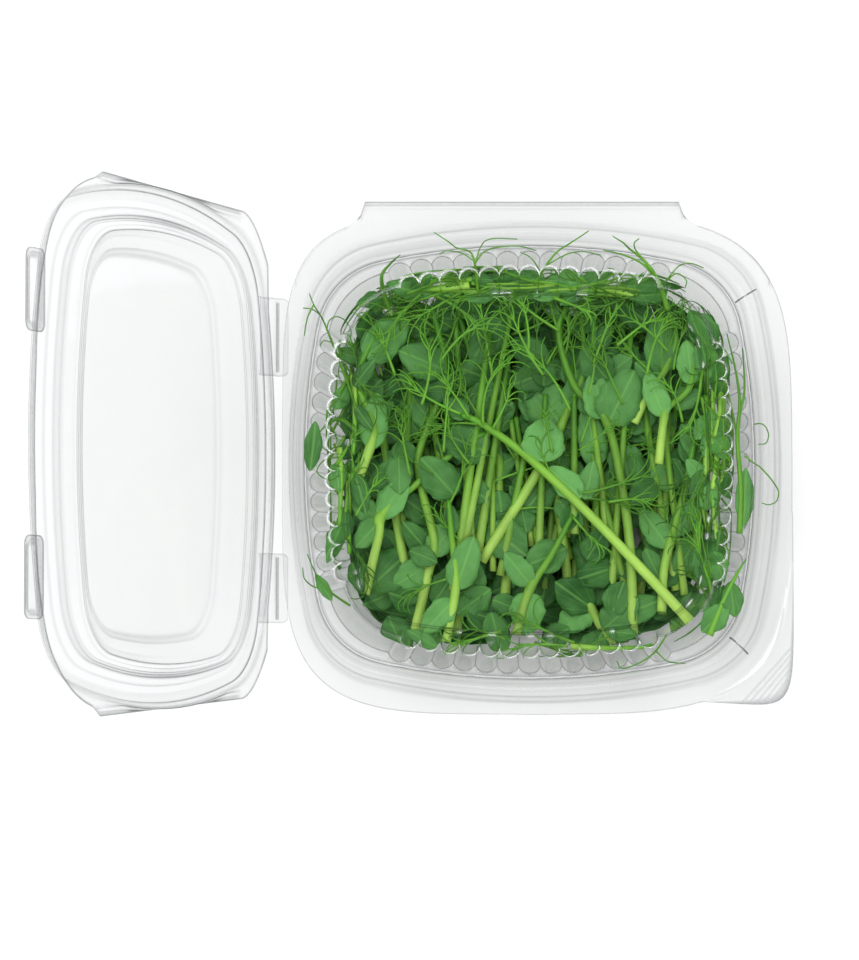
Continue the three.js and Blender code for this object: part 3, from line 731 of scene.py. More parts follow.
def pull_tab_edge(points: np.ndarray) -> np.ndarray:
    """Pushes a flange edge out to the corner pull tab's outline, where that is further out."""
    core = np.array(PULL_TAB_CORE)
    away = points - core
    distance = np.linalg.norm(away, axis=1)
    unit = away / distance[:, None]
    reaches = []
    for start, end in (PULL_TAB_BOTTOM, PULL_TAB_RIGHT):
        line = np.array(end) - np.array(start)
        out = np.array((line[1], -line[0])) / np.linalg.norm(line)
        reaches.append(np.dot(np.array(start) - core, out) / np.maximum(unit @ out, 1e-3))
    power = PULL_TAB_SQUARENESS
    corner = (reaches[0] ** -power + reaches[1] ** -power) ** (-1 / power)
    inside = (unit[:, 0] > -0.02) & (unit[:, 1] < 0.02)
    reach = np.where(inside, np.maximum(distance, corner), distance)
    return core + unit * reach[:, None]


def fuller_corners(points: np.ndarray, sides: Sides, power: float | np.ndarray) -> np.ndarray:
    """Pushes a flange's edge out in its corners, where it is squarer than the bead.

    Args:
        points: The edge's points, measured from the flange's middle.
        sides: How far its left, right, back and front edges lie from the middle.
        power: How square the corners are, the same for all or at each point.

    Returns:
        The moved points.
    """
    left, right, back, front = sides
    distance = np.linalg.norm(points, axis=1)
    x, y = points[:, 0] / distance, points[:, 1] / distance
    across = np.abs(x) / np.where(x < 0, left, right)
    ahead = np.abs(y) / np.where(y < 0, front, back)
    reach = (across**power + ahead**power) ** (-1 / power)
    return points * (np.maximum(reach, distance) / distance)[:, None]


def press_tab_edge(
    points: np.ndarray, side: float, tab: tuple[float, float], target_y: float | np.ndarray
) -> np.ndarray:
    """Pushes a flange edge out to a straight press tab.

    Args:
        points: The outline.
        side: +1 for the +Y side, -1 for the -Y side.
        tab: The tab's two ends along X.
        target_y: How far out the tab reaches, the same all along or at each point.

    Returns:
        The moved outline.
    """
    moved = points.copy()
    near = side * points[:, 1] > 40
    x = points[:, 0]
    rise = np.clip((x - tab[0] + 0.5) / 1.0, 0, 1) * np.clip((tab[1] + 0.5 - x) / 1.0, 0, 1)
    hollow = np.clip((x - tab[0] + 5) / 5, 0, 1) ** 2 * np.clip((tab[1] + 5 - x) / 5, 0, 1) ** 2
    share = np.where(near, np.maximum(rise, hollow * 0.45), 0)
    moved[:, 1] += side * share * np.maximum(target_y - side * points[:, 1], 0)
    return moved


def ruled_flange(foot: np.ndarray, crease: np.ndarray, edge: np.ndarray, steps: int) -> np.ndarray:
    """Rows from the bead's foot over the crease to the edge."""
    rows = [foot + (crease - foot) * k / steps for k in range(1, steps + 1)]
    rows += [crease + (edge - crease) * k / EDGE_ROWS for k in range(1, EDGE_ROWS + 1)]
    return np.array(rows)


def swell_tab(height: np.ndarray, edge: np.ndarray, tab: tuple[float, float], beyond: np.ndarray) -> None:
    """Bows a press tab's outer rows up a little, in place.

    Args:
        height: The flange's heights, row by row.
        edge: The flange's edge.
        tab: The tab's two ends along X.
        beyond: Which points lie on a side that has a tab.
    """
    on_tab = beyond & (edge[:, 0] > tab[0] - 1) & (edge[:, 0] < tab[1] + 1)
    for k in range(1, EDGE_ROWS + 1):
        height[k - 1 - EDGE_ROWS] += np.where(on_tab, 0.9 * math.sin(math.pi * k * 0.2), 0)


@dataclass
class BaseTray:
    """The fluted bowl with its ledge, hollow bead, flange and tabs."""

    name: str = "base_tray_formed"
    flange_steps: int = 6
    stations: list[Station] = field(
        default_factory=lambda: [
            Station(56.0, 53.5, 17, 1.4, fillet=1.0),
            Station(57.6, 55.1, 17.5, 0.6, fillet=1.0),
            Station(60.5, 57.9, 19, 0.6, fillet=1.6),
            Station(63.2, 60.6, 20.5, 3.4, fillet=2.0),
            Station(64.2, 61.6, 21, 8.0, flute=0.3, fillet=2.5),
            Station(65.2, 62.6, 21.6, 12.0, flute=1.9, fillet=2.0),
            Station(70.4, 67.8, 25, 39.6, flute=2.4, fillet=1.0),
            Station(70.9, 68.2, 25.2, LEDGE_Z, flute=2.4, fillet=0.35),
            Station(75.4, 72.6, 26.5, LEDGE_Z, fillet=0.5),
            Station(76.3, 73.8, 26.8, 45.0, mid_x=0.2, fillet=1.2),
            Station(78.7, 76.4, 27.2, BEAD_Z, mid_x=0.8, fillet=1.6),
            Station(80.95, 79.0, 27.7, 45.1, mid_x=1.4, fillet=0.8),
            Station(81.6, 79.8, 28.0, FLANGE_Z, mid_x=1.6, fillet=0.5),
        ]
    )

    def flange(self, foot: np.ndarray) -> np.ndarray:
        """The flange's rows, outwards from the bead's foot."""
        edge_row = Station(85.2, 83.2, 30, FLANGE_Z, mid_x=2.55, mid_y=-1.25).row()
        plain = outline(edge_row)
        left = np.where(plain[:, 1] > 0, BACK_LEFT_SQUARENESS, FRONT_LEFT_SQUARENESS)
        plain = fuller_corners(plain, TRAY_SIDES, np.where(plain[:, 0] < 0, left, RIGHT_SQUARENESS))
        edge, crease = (press_tab_edge(pull_tab_edge(plain), 1, TRAY_TAB, y) for y in (TAB_EDGE_Y, TAB_CREASE_Y))
        inner = foot[:, :2]
        reach = np.linalg.norm(edge - plain, axis=1, keepdims=True)
        inset = inner + (crease - inner) * 0.75
        crease = np.where(plain[:, 1:] > 60, crease, np.where(reach > 0.8, plain, inset))
        flat = ruled_flange(inner, crease, edge, self.flange_steps)
        height = np.full(flat.shape[:2], FLANGE_Z)
        fold = np.clip((reach[:, 0] - 0.8) / 2.0, 0, 1) * (plain[:, 1] < 0)
        height[self.flange_steps - 1] += 0.35 * fold
        swell_tab(height, flat[-1], TRAY_TAB, flat[-1, :, 1] > 75)
        return np.concatenate([flat, height[..., None]], axis=2)

    @staticmethod
    def tick(x: float, y: float, turn: float) -> SheetParts:
        """One rib that runs over the bead from the ledge to the flange, marked as fully bent, so that painted shade
        draws it as a dark line.
        """
        out, top = np.array(TICK_OUT), np.array(TICK_TOP)
        c, s = math.cos(turn), math.sin(turn)
        rings = []
        for side, drop in ((-1, TICK_DEPTH), (1, TICK_DEPTH), (1, 0), (-1, 0)):
            across = side * TICK_WIDTH / 2
            rings.append(np.column_stack([x + out * c - across * s, y + out * s + across * c, top - drop]))
        vertices = np.stack(rings, axis=1).reshape(-1, 3)
        last = 4 * (len(out) - 1)
        faces = [(3, 2, 1, 0), (last, last + 1, last + 2, last + 3)]
        for r in range(len(out) - 1):
            faces += [(4 * r + k, 4 * r + (k + 1) % 4, 4 * r + 4 + (k + 1) % 4, 4 * r + 4 + k) for k in range(4)]
        return vertices, faces, np.ones(len(vertices))

    def grip_ridges(self) -> list[SheetParts]:
        """The diagonal finger ridges on the pull tab."""
        ridges = []
        for k in range(GRIP_RIDGES):
            start = np.array((70.9 + GRIP_PITCH * k, -80.3 - 0.1 * k))
            end = np.array((87.4, -61.8 - GRIP_PITCH * k))
            middle, along = (start + end) / 2, end - start
            size, turn = np.linalg.norm(along), math.atan2(along[1], along[0])
            ridges.append(box_parts(size, 0.95, 0.3, (middle[0], middle[1], FLANGE_Z + 0.06), turn, 0.1))
        return ridges

    def glints(self, vertices: np.ndarray, bends: np.ndarray, grid: tuple) -> np.ndarray:
        """A bright crease round the pull tab, bright grip ridges, and a little shine on every bend.

        Args:
            vertices: The tray's points.
            bends: How sharply it bends at each.
            grid: How many rows and points a row its upper surface has.

        Returns:
            The glint at each point.
        """
        glints = bends * BEND_GLINT
        rows, around = grid[:2]
        crease = (rows + EDGE_ROWS) * around + np.arange(around)
        in_tab = (vertices[crease, 0] > 50) & (vertices[crease, 1] < -20)
        glints[crease] = np.where(in_tab, 0.32, glints[crease])
        glints[-GRIP_RIDGES * BOX_POINTS :] = 0.7
        return glints

    def build(self, material: bpy.types.Material) -> bpy.types.Object:
        """Makes the tray and puts it in place of its solid.

        Args:
            material: The clear sheet finish.

        Returns:
            The finished piece.
        """
        rows = rounded_rows(self.stations)
        lower_rows = under_rows(rows, WALL)
        lower_rows[:, 3] = np.maximum(lower_rows[:, 3], 0.02)
        upper, lower = surface_of(rows), surface_of(lower_rows)
        flange = self.flange(upper[-1])
        upper, lower = np.concatenate([upper, flange]), np.concatenate([lower, flange - (0, 0, WALL)])
        parts = [closed_sheet(upper, lower)]
        parts += [self.tick(x, y, math.radians(turn)) for x, y, turn in TICKS]
        parts += self.grip_ridges()
        vertices, faces, bends = join_parts(parts)
        piece = sheet_piece(self.name, (vertices, faces, bends), material, self.glints(vertices, bends, upper.shape))
        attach(piece, "tray")
        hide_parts("base_tray")
        return piece


@dataclass
class InnerCover:
    """The shallow fluted cover that is pressed in over the greens."""

    name: str = "inner_cover_formed"
    stations: list[Station] = field(
        default_factory=lambda: [
            Station(57.5, 54.3, 19, 31.7, fillet=0.6),
            Station(60.2, 57.0, 19.8, 31.7, fillet=0.35),
            Station(60.8, 57.6, 20.2, 30.9, fillet=0.35),
            Station(61.7, 58.6, 20.6, 31.2, flute=0.5, fillet=0.6),
            Station(62.8, 59.8, 21.2, 33.6, flute=2.3, fillet=1.4),
            Station(64.1, 61.6, 22.4, 39.4, flute=3.2, fillet=0.8),
            Station(64.4, 62.0, 22.6, COVER_LIP_Z, flute=3.2, fillet=0.35),
            Station(74.7, 71.9, 26.1, COVER_LIP_Z, fillet=0.3),
        ]
    )

    def build(self, material: bpy.types.Material) -> bpy.types.Object:
        """Makes the cover and puts it in place of its solid.

        Args:
            material: The clear sheet finish.

        Returns:
            The finished piece.
        """
        rows = rounded_rows(self.stations, spacing=1.6)
        upper, lower = surface_of(rows), surface_of(under_rows(rows, WALL))
        vertices, faces, bends = closed_sheet(upper, lower)
        piece = sheet_piece(self.name, (vertices, faces, bends), material, self.glints(vertices, bends, upper.shape[1]))
        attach(piece, "tray")
        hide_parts("inner_cover")
        return piece

    def glints(self, vertices: np.ndarray, bends: np.ndarray, around: int) -> np.ndarray:
        """Bright arcs on top of the flutes, broken glints along the pane's edge and sparkles at the flutes' feet.

        Args:
            vertices: The cover's points.
            bends: How sharply it bends at each.
            around: How many points there are in one ring.

        Returns:
            The glint at each point.
        """
        height = vertices[:, 2]
        column = np.arange(len(vertices)) % around
        broken = np.random.default_rng(5).random(around // 2 + 2)[column // 2]
        in_corner = column % (around // 4) > FLUTES_PER_SIDE * POINTS_PER_FLUTE
        lobes = (height > 36) & (rim_distance(vertices) < 71)
        arcs = np.where(lobes, bends * np.where(in_corner, 0.2, 0.75), 0)
        edge = np.where((height < 31.55) & (broken > 0.9), bends * 0.5, 0)
        feet = np.where((height > 31.85) & (height < 33.0) & (broken > 0.88), 0.9, 0)
        return np.maximum(arcs, np.maximum(edge, feet))


@dataclass
class Lid:
    """The lid, drawn closed from the hinge line and then swung open."""

    name: str = "lid_formed"
    flange_steps: int = 4
    free_edge: float = 169.6
    tab: tuple[float, float] = (28.3, 127.0)
    tab_back: tuple[float, float] = (81.3, 82.9)
    tab_front: tuple[float, float] = (79.3, 84.3)
    tab_fold: float = 2.5
    shoulder: tuple[float, float] = (19.0, 13.0)
    lug_y: float = 42.7
    lug_length: float = 25.0
    lug_reach: float = 3.4
    lug_inset: float = 8.0
    stations: list[Station] = field(
        default_factory=lambda: [
            Station(44.0, 57.0, 18, 3.0, mid_x=88.6, fillet=1.0),
            Station(46.8, 59.8, 19, 3.0, mid_x=88.6, fillet=1.5),
            Station(48.4, 61.4, 20, 1.5, mid_x=88.4, fillet=0.9),
            Station(55.0, 66.0, 21, 1.0, mid_x=84.5, fillet=1.2),
            Station(59.4, 68.0, 22, 0.3, mid_x=82.3, fillet=0.4),
            Station(60.8, 69.4, 23, 1.0, mid_x=82.6, fillet=0.8),
            Station(67.0, 70.7, 24, 1.0, mid_x=83.2, fillet=0.9),
            Station(68.0, 71.4, 24.4, 1.7, mid_x=83.4, fillet=0.8),
            Station(71.2, 72.3, 25, 1.2, mid_x=83.8, fillet=0.8),
            Station(73.8, 74.6, 26, 3.4, mid_x=84.2, fillet=0.9),
            Station(79.2, 77.8, 27.2, 4.0, mid_x=84.8, fillet=1.6),
            Station(82.4, 80.6, 26.6, 3.2, mid_x=85.1, fillet=0.6),
            Station(83.0, 81.5, 27.0, 1.1, mid_x=85.2, fillet=0.4),
        ]
    )

    def flange(self, foot: np.ndarray) -> np.ndarray:
        """The flange's rows, outwards from the bead's foot, with a press tab along each side."""
        plain = outline(Station(83.6, 82.2, 30, 1.1, mid_x=LID_MIDDLE).row(), PLAIN_POINTS_PER_FLUTE)
        fuller = fuller_corners(plain - (LID_MIDDLE, 0), LID_SIDES, LID_SQUARENESS) + (LID_MIDDLE, 0)
        plain = np.where(plain[:, :1] > self.tab[1], fuller, plain)
        line = self.tab_line(plain)
        edge, crease = plain.copy(), plain.copy()
        for side in (1, -1):
            edge = press_tab_edge(edge, side, self.tab, line)
            crease = press_tab_edge(crease, side, self.tab, line - self.tab_fold)
        hinge_half = (plain[:, 0] < self.tab[0] + 1) & (np.abs(plain[:, 1]) > 50)
        for points, reach in ((edge, line), (crease, line - self.tab_fold)):
            wide = np.sign(plain[:, 1]) * np.maximum(np.abs(plain[:, 1]), reach)
            points[:, 1] = np.where(hinge_half, wide, points[:, 1])
        inner = foot[:, :2]
        on_side = np.abs(plain[:, 1:]) > 62
        crease = np.where(on_side, crease, inner + (crease - inner) * 0.7)
        flat = ruled_flange(inner, crease, edge, self.flange_steps)
        height = np.linspace(1.1, 0.6, len(flat))[:, None] * np.ones(len(plain))
        swell_tab(height, flat[-1], self.tab, np.abs(flat[-1, :, 1]) > 70)
        return np.concatenate([flat, height[..., None]], axis=2)

    def tab_line(self, points: np.ndarray) -> np.ndarray:
        """How far out the press tab's edge lies beside each point, with a shoulder that falls off towards the hinge."""
        along = np.clip((points[:, 0] - self.tab[0]) / (self.tab[1] - self.tab[0]), 0, 1)
        back = self.tab_back[0] + (self.tab_back[1] - self.tab_back[0]) * along
        front = self.tab_front[0] + (self.tab_front[1] - self.tab_front[0]) * along
        short = np.clip((self.tab[0] - points[:, 0]) / self.shoulder[0], 0, 1.4)
        return np.where(points[:, 1] > 0, back, front) - self.shoulder[1] * short**2

    def lug(self, y: float) -> SheetParts:
        """One folded thumb lug: a shallow open box beyond the free edge."""
        half_long, half_wide = self.lug_length / 2, (self.lug_reach + self.lug_inset) / 2
        centre_x = self.free_edge - self.lug_inset + half_wide
        rings = []
        profile = ((3.4, 2.0), (2.6, 2.0), (2.2, 1.9), (1.8, 1.2), (1.4, 1.05), (0.6, 1.05), (0.0, 1.2))
        for inset, z in profile:
            rings.append(self.lug_ring(centre_x, y, half_wide - inset, half_long - inset, 2.9 - 0.5 * inset, z))
        upper = np.array(rings)
        return closed_sheet(upper, upper - (0, 0, WALL))

    @staticmethod
    def lug_ring(x: float, y: float, half_x: float, half_y: float, corner: float, z: float) -> np.ndarray:
        """A rounded rectangle's points at one height."""
        points = []
        for quarter, (sx, sy) in enumerate(((1, 1), (-1, 1), (-1, -1), (1, -1))):
            for t in np.linspace(0, math.pi / 2, 6):
                a = quarter * math.pi / 2 + t
                u = x + sx * (half_x - corner) + corner * math.cos(a)
                points.append((u, y + sy * (half_y - corner) + corner * math.sin(a), z))
        return np.array(points)

    def build(self, material: bpy.types.Material) -> bpy.types.Object:
        """Makes the lid, swings it open and puts it in place of its solid.

        Args:
            material: The clear sheet finish.

        Returns:
            The finished piece.
        """
        rows = rounded_rows(self.stations, spacing=6.0)
        per_flute = PLAIN_POINTS_PER_FLUTE
        upper, lower = surface_of(rows, per_flute), surface_of(under_rows(rows, WALL), per_flute)
        flange = self.flange(upper[-1])
        upper, lower = np.concatenate([upper, flange]), np.concatenate([lower, flange - (0, 0, WALL)])
        parts = [closed_sheet(upper, lower)]
        parts += [self.lug(side * self.lug_y) for side in (1, -1)]
        vertices, faces, bends = join_parts(parts)
        piece = sheet_piece(self.name, (swing_open(vertices), faces, bends), material)
        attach(piece, "lid")
        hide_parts("lid")
        return piece


def swing_open(points: np.ndarray) -> np.ndarray:
    """Turns points of the closed lid's frame to the open rest pose.

    Args:
        points: Points measured from the hinge line with the lid closed.

    Returns:
        The points in the row frame.
    """
    c, s = math.cos(LID_OPEN), math.sin(LID_OPEN)
    out, up = points[:, 0], points[:, 2]
    return np.column_stack([HINGE_X + out * c - up * s, points[:, 1], HINGE_Z + out * s + up * c])


@dataclass
class HingeStrap:
    """One bending strap: two raised ribs with a thin fold between them."""

    name: str
    y: float
    length: float
    tray_reach: float = 3.6
    lid_reach: float = 12.4
    rib: float = 0.75

    def build(self, material: bpy.types.Material) -> bpy.types.Object:
        """Makes the strap, bent as at rest.

        Args:
            material: The clear sheet finish.

        Returns:
            The finished piece.
        """
        along = np.concatenate([np.linspace(-self.tray_reach, 0, 16), np.linspace(0, self.lid_reach, 33)[1:]])
        across = np.linspace(-0.5, 0.5, 25)
        grids = []
        for layer in (0.5, -0.5):
            points = []
            for s in along:
                reach = self.lid_reach if s > 0 else self.tray_reach
                hump = math.sin(math.pi * min(1, max(0, (abs(s) - 0.5) / (reach - 0.5)))) ** 0.5
                for w in across:
                    end = min(1.0, (0.5 - abs(w)) * self.length / 1.6)
                    lift = self.rib * hump * math.sin(end * math.pi / 2) + layer * 0.3
                    corner = max(0.0, 1 - (reach - abs(s)) / 2.0) ** 2
                    points.append((s, w * (self.length - 0.8 * (1 - end) - 2.4 * corner), lift))
            grids.append(self.bent(np.array(points)))
        rows, columns = len(along), len(across)
        # The strap's edges and its fold are marked as bends, which gives them painted dark lines and a little painted
        # glint.
        sharp = np.zeros((rows, columns))
        sharp[[0, -1], :] = 0.5
        sharp[:, [0, -1]] = 0.5
        sharp[np.abs(along) < 0.6, 2:-2] = 0.7
        parts = np.concatenate(grids), slab_faces(rows, columns), np.tile(sharp.ravel(), 2)
        piece = sheet_piece(self.name, parts, material, smooth_under=180)
        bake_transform(piece)
        return piece

    def bent(self, points: np.ndarray) -> np.ndarray:
        """Bends the flat strap round the fold: the tray's half stays level, the lid's half stands up."""
        s, w, n = points[:, 0], points[:, 1], points[:, 2]
        lid_part = s > 0
        inside = np.interp(s, (0, 3.0, 4.2, 6.4, 9.6, self.lid_reach), (0.35, 0.4, 2.0, 2.7, 2.3, 0.5))
        swung = swing_open(np.column_stack([np.maximum(s, 0), w, inside - n * 0.7]))
        level = np.column_stack([HINGE_X - s, w, HINGE_Z - 0.35 + n])
        bent = np.where(lid_part[:, None], swung, level)
        bent[:, 1] += self.y
        return bent


# Greens


class LeafShape(Enum):
    """How a leaf narrows: round leaves clasp the stem, long ones stand off it."""

    ROUND = (0.72, 0.5)
    OVAL = (0.78, 0.6)
    LONG = (0.95, 0.72)


@dataclass
class ShootPlan:
    """Where one shoot lies in plan: its stem, leaves and tendrils."""

    path: list[tuple[float, float]]
    thick: float
    leaves: list[tuple[float, float, float, float, float]]
    tendrils: list[tuple[float, float, float, float, float]]


# The shoots that show on top, as laid in the frame: stem points from the cut end to the tip;
# leaves as base x, y, tip x, y and width; tendrils as start x, y, end x, y and bow.
LAID_SHOOTS = [ShootPlan(*parts) for parts in (
    ([(52.4, -50.9), (23.8, -20.4), (0.2, 2), (-15.3, 13.3), (-23, 16.9)], 3.5,
     [(18, -11.3, 7, -1, 8.5), (19, -12, 22, 1, 7), (4.5, 0.8, 5.6, 15.5, 13.5)],
     [(-15, 13, -33, 17.5, 0.1), (-14, 12.5, -25, 27, -0.1), (18, -11.3, 36, -13, 0.05)]),
    ([(35.2, -54.2), (34.7, -33), (32.4, -11.8), (26.6, 14.6), (15.7, 26.6), (10.3, 45), (14, 55)], 3.5,
     [(27, 14, 36, 32, 14), (25, 15.5, 22, 31, 10)],
     [(10.5, 38, 21, 56, -0.12), (10.3, 45, 5, 58, 0.1)]),
    ([(-15.8, -32.7), (3.4, -2.1), (13.4, 18), (21.4, 37), (22.5, 52)], 3.6,
     [(11.5, 13.5, 0, 29.5, 13.8), (13.4, 18, 19.5, 33.5, 8)],
     [(20, 34, 31, 50, 0.12), (17, 26, 14, 45, 0.12)]),
    ([(36, 14), (40.4, 23.2), (46.7, 32.9), (50.1, 41.5), (49, 50)], 2.8,
     [(45.6, 31.5, 44.2, 50, 11)],
     [(50, 43, 43, 55, 0.12), (44, 29, 32, 41, 0.12)]),
    ([(44, 0), (45.6, 14), (47.3, 19.1), (54.2, 25.5), (57, 38)], 3.0,
     [(55, 27, 53.5, 42, 8), (46, 16, 40, 31, 8)],
     [(57, 37, 53, 47, 0.15)]),
    ([(45, -49.7), (46.1, -34.2), (50.7, -17), (54, -4), (57, 12)], 3.2,
     [(48.5, -23.5, 60.5, -11.5, 8), (47.5, -28, 38, -15, 8.5)],
     [(57, 10, 62, 22, 0.12)]),
    ([(-55.1, -43.9), (-50.5, -24), (-49.5, -17), (-37.8, -6.6), (-22.5, 6.1), (-14, 11)], 3.2,
     [(-50, -18.5, -58.5, -28, 8), (-50, -18, -41, -5, 9), (-50.5, -19, -60, -11, 7)],
     [(-28.6, 0, -30, 14, 0.12), (-22, 6, -20, 19, -0.1)]),
    ([(-37.8, -54.1), (-33.5, -35), (-31.8, -25.5), (-36, -8), (-37, 4), (-30.6, 21), (-28.1, 33.8),
      (-32.7, 54)], 3.4,
     [(-33.5, -33.5, -45.5, -41, 9.5), (-33, -31, -25, -19, 8.5)],
     [(-29, 38, -20, 52, 0.12), (-31, 46, -42, 56, -0.12)]),
    ([(-27.1, -56.2), (-24.5, -40.3), (-26, -24), (-27, -12)], 3.0,
     [(-24.6, -42, -18.5, -24.5, 10), (-25.5, -46, -36, -57, 8.5)],
     [(-27, -14, -17, 2, 0.15), (-24.5, -38, -40, -42, 0.18)]),
    ([(-9.7, -58), (-7, -33.7), (-9.7, -10.7), (-9.7, 1.5), (-12, 16), (-20.4, 41.4), (-24, 54)], 3.6,
     [(-9.7, 0.5, -17.5, 10, 8), (-13.5, 22, -9, 40, 10.5)],
     [(-20, 41, -13.8, 55, -0.1), (-21, 44, -36, 52, 0.15)]),
    ([(-43.9, -32.2), (-40, -10), (-41.9, 1.6), (-37.8, 16.9), (-33.2, 34.8), (-20, 52)], 3.4,
     [(-38.5, 14.5, -41.5, 33.5, 10), (-43.5, -30, -52, -21, 8)],
     [(-26, 44, -12, 50, -0.12)]),
    ([(-58.5, -8), (-53, 7), (-52.5, 14), (-57.5, 29), (-50.6, 47)], 3.2,
     [(-53, 5, -51, 24, 9), (-55, 36, -41, 49, 12)],
     [(-51, 46, -43, 54, 0.12), (-57, 30, -60, 40, 0.12)]),
    ([(-3.2, -54), (0.2, -42.8), (7.7, -30.8), (15, -17)], 3.2,
     [(0, -43.5, -1, -58, 11), (1, -41, -8, -30, 8)],
     [(15, -18, 24, -28, 0.15)]),
    ([(26.6, -57.5), (20.3, -45), (22, -30), (23.2, -12), (23.2, 0.8), (31, 25), (30, 42)], 3.2,
     [(23.2, 0, 19.5, 19.5, 9.5), (20.8, -47.5, 11, -56, 10)],
     [(30.5, 36, 40, 52, 0.12)]),
    ([(60, -40), (57, -20), (60.5, 0), (61, 18), (59, 34)], 2.9,
     [(57.2, -24, 50, -38, 8.5), (60.5, 2, 52, 14, 8.5)],
     [(60, 24, 54, 40, -0.12)]),
)]

UNDER_LAYERS = ((-0.16, 6), (0.2, 5), (-0.05, 5))
UNDER_HALF_WIDTH = 55.0
UNDER_HALF_LENGTH = 54.0
UNDER_CORNER_X = 40.0
UNDER_CORNER_INSET = 10.0
UNDER_MOST_X = 60.0

# Seeds of the draws, the draws' own numbers, and how much finer the rim's measure is along y
UNDER_SEED, SHOOT_SEED, LOOSE_SEED, TANGLE_SEED, RIM_SEED = 101, 900, 5000, 7100, 8200
DRAW_TIMES, DRAW_PLUS, DRAW_RANGE = 1664525, 1013904223, 4294967296
RIM_Y_SCALE = 1.04

# Room for the greens: rim distances where the cover's lip and wall begin, and the heights under them
LIP_FROM, WALL_FROM = 58.5, 61.0
PANE_ROOM, LIP_ROOM, WALL_ROOM, WALL_SLOPE, LEDGE_ROOM = 30.7, 29.9, 30.2, 1.35, 39.6
FLOOR_TOP = 1.3
BOWL_HALF, BOWL_HALF_Z, BOWL_SLOPE = 62.0, 3.0, 0.205
LEAF_COLUMNS = 7

# The way of a stray thread: rim distances and the height at each
STRAY_RHO = (57, 60.5, 68.0, 69.5, 75.2, 76.4, 80.0, 82.0, 90)
STRAY_HEIGHT = (29.5, 30.2, 39.0, 41.2, 41.2, 46.3, 46.4, 44.2, 43.5)


class Draws:
    """Seeded draws by the same rule as the frame's."""

    def __init__(self, seed: int) -> None:
        """Starts from a seed."""
        self.state = seed % DRAW_RANGE

    def __call__(self, low: float, high: float) -> float:
        """One draw between low and high."""
        self.state = (self.state * DRAW_TIMES + DRAW_PLUS) % DRAW_RANGE
        return low + (high - low) * self.state / DRAW_RANGE


def under_shoot(layer: int, index: int, draw: Draws) -> ShootPlan:
    """Lays one of the lower shoots by rule, as in the frame.

    Args:
        layer: Which layer, from the top.
        index: Which lane of the layer.
        draw: The layer's draws.

    Returns:
        The shoot's plan.
    """
    lean, count = UNDER_LAYERS[layer]
    lane = 2 * (index + 0.5) / count - 1 + draw(-0.05, 0.05)
    mid_x = UNDER_HALF_WIDTH * lane
    inset = UNDER_CORNER_INSET if abs(mid_x) > UNDER_CORNER_X else 0
    from_y = -UNDER_HALF_LENGTH + inset + draw(0, 8)
    to_y = UNDER_HALF_LENGTH - inset - draw(0, 10)
    bend = draw(-3, 3)

    def keep_in(x: float) -> float:
        """Keeps a point off the side walls."""
        return max(-UNDER_MOST_X, min(UNDER_MOST_X, x))

    def spot(f: float) -> tuple[float, float]:
        """A point of the stem."""
        y = from_y + (to_y - from_y) * f
        sway = bend if 0.2 < f < 0.8 else 0
        return keep_in(mid_x + lean * y) + sway, y

    leaves = []
    for f, side in ((0.42, 1), (0.66, -1)):
        x, y = spot(f)
        reach = draw(11, 15)
        leaves.append((x, y, keep_in(x + side * reach * 0.62), y + reach * 0.78, draw(8, 11)))
    path = [spot(f) for f in (0, 0.35, 0.7, 1)]
    tip_x, tip_y = path[-1]
    inwards = -1 if tip_x > 0 else 1
    return ShootPlan(path, draw(2.8, 3.5), leaves, [(tip_x, tip_y - 1, tip_x + inwards * 7, tip_y + 6, 0.15)])


def rim_distance(points: np.ndarray) -> np.ndarray:
    """How far out points lie, measured square-wise: about 57 at the pane's edge, 75 at the bead."""
    return (np.abs(points[:, 0]) ** 4 + np.abs(points[:, 1] * RIM_Y_SCALE) ** 4) ** 0.25


def room_above(points: np.ndarray) -> np.ndarray:
    """The highest that greens may reach at a place, under the cover's pane and sloping wall."""
    rho = rim_distance(points)
    under_wall = np.minimum(WALL_ROOM + (rho - WALL_FROM) * WALL_SLOPE, LEDGE_ROOM)
    return np.where(rho > WALL_FROM, under_wall, np.where(rho > LIP_FROM, LIP_ROOM, PANE_ROOM))


def keep_inside(points: np.ndarray, margin: float) -> np.ndarray:
    """Moves points into the space between the bowl and the cover.

    Args:
        points: The points.
        margin: How far they stay off the plastic.

    Returns:
        The moved points.
    """
    moved = points.copy()
    moved[:, 2] = np.clip(moved[:, 2], FLOOR_TOP + margin, room_above(moved) - margin)
    half = BOWL_HALF + (moved[:, 2] - BOWL_HALF_Z) * BOWL_SLOPE - margin
    shrink = np.minimum(1.0, half / np.maximum(rim_distance(moved), 1e-6))
    moved[:, :2] *= shrink[:, None]
    return moved


def over_rim(points: np.ndarray) -> np.ndarray:
    """Lifts plan points of a stray shoot: up the wall, flat under the cover's lip, then over the bead."""
    rho = rim_distance(points)
    return np.column_stack([points[:, 0], points[:, 1], np.interp(rho, STRAY_RHO, STRAY_HEIGHT)])


def towards(angle: float, rise: float) -> np.ndarray:
    """A step of length 1 in plan at an angle, with a rise."""
    return np.array((math.cos(angle), math.sin(angle), rise))


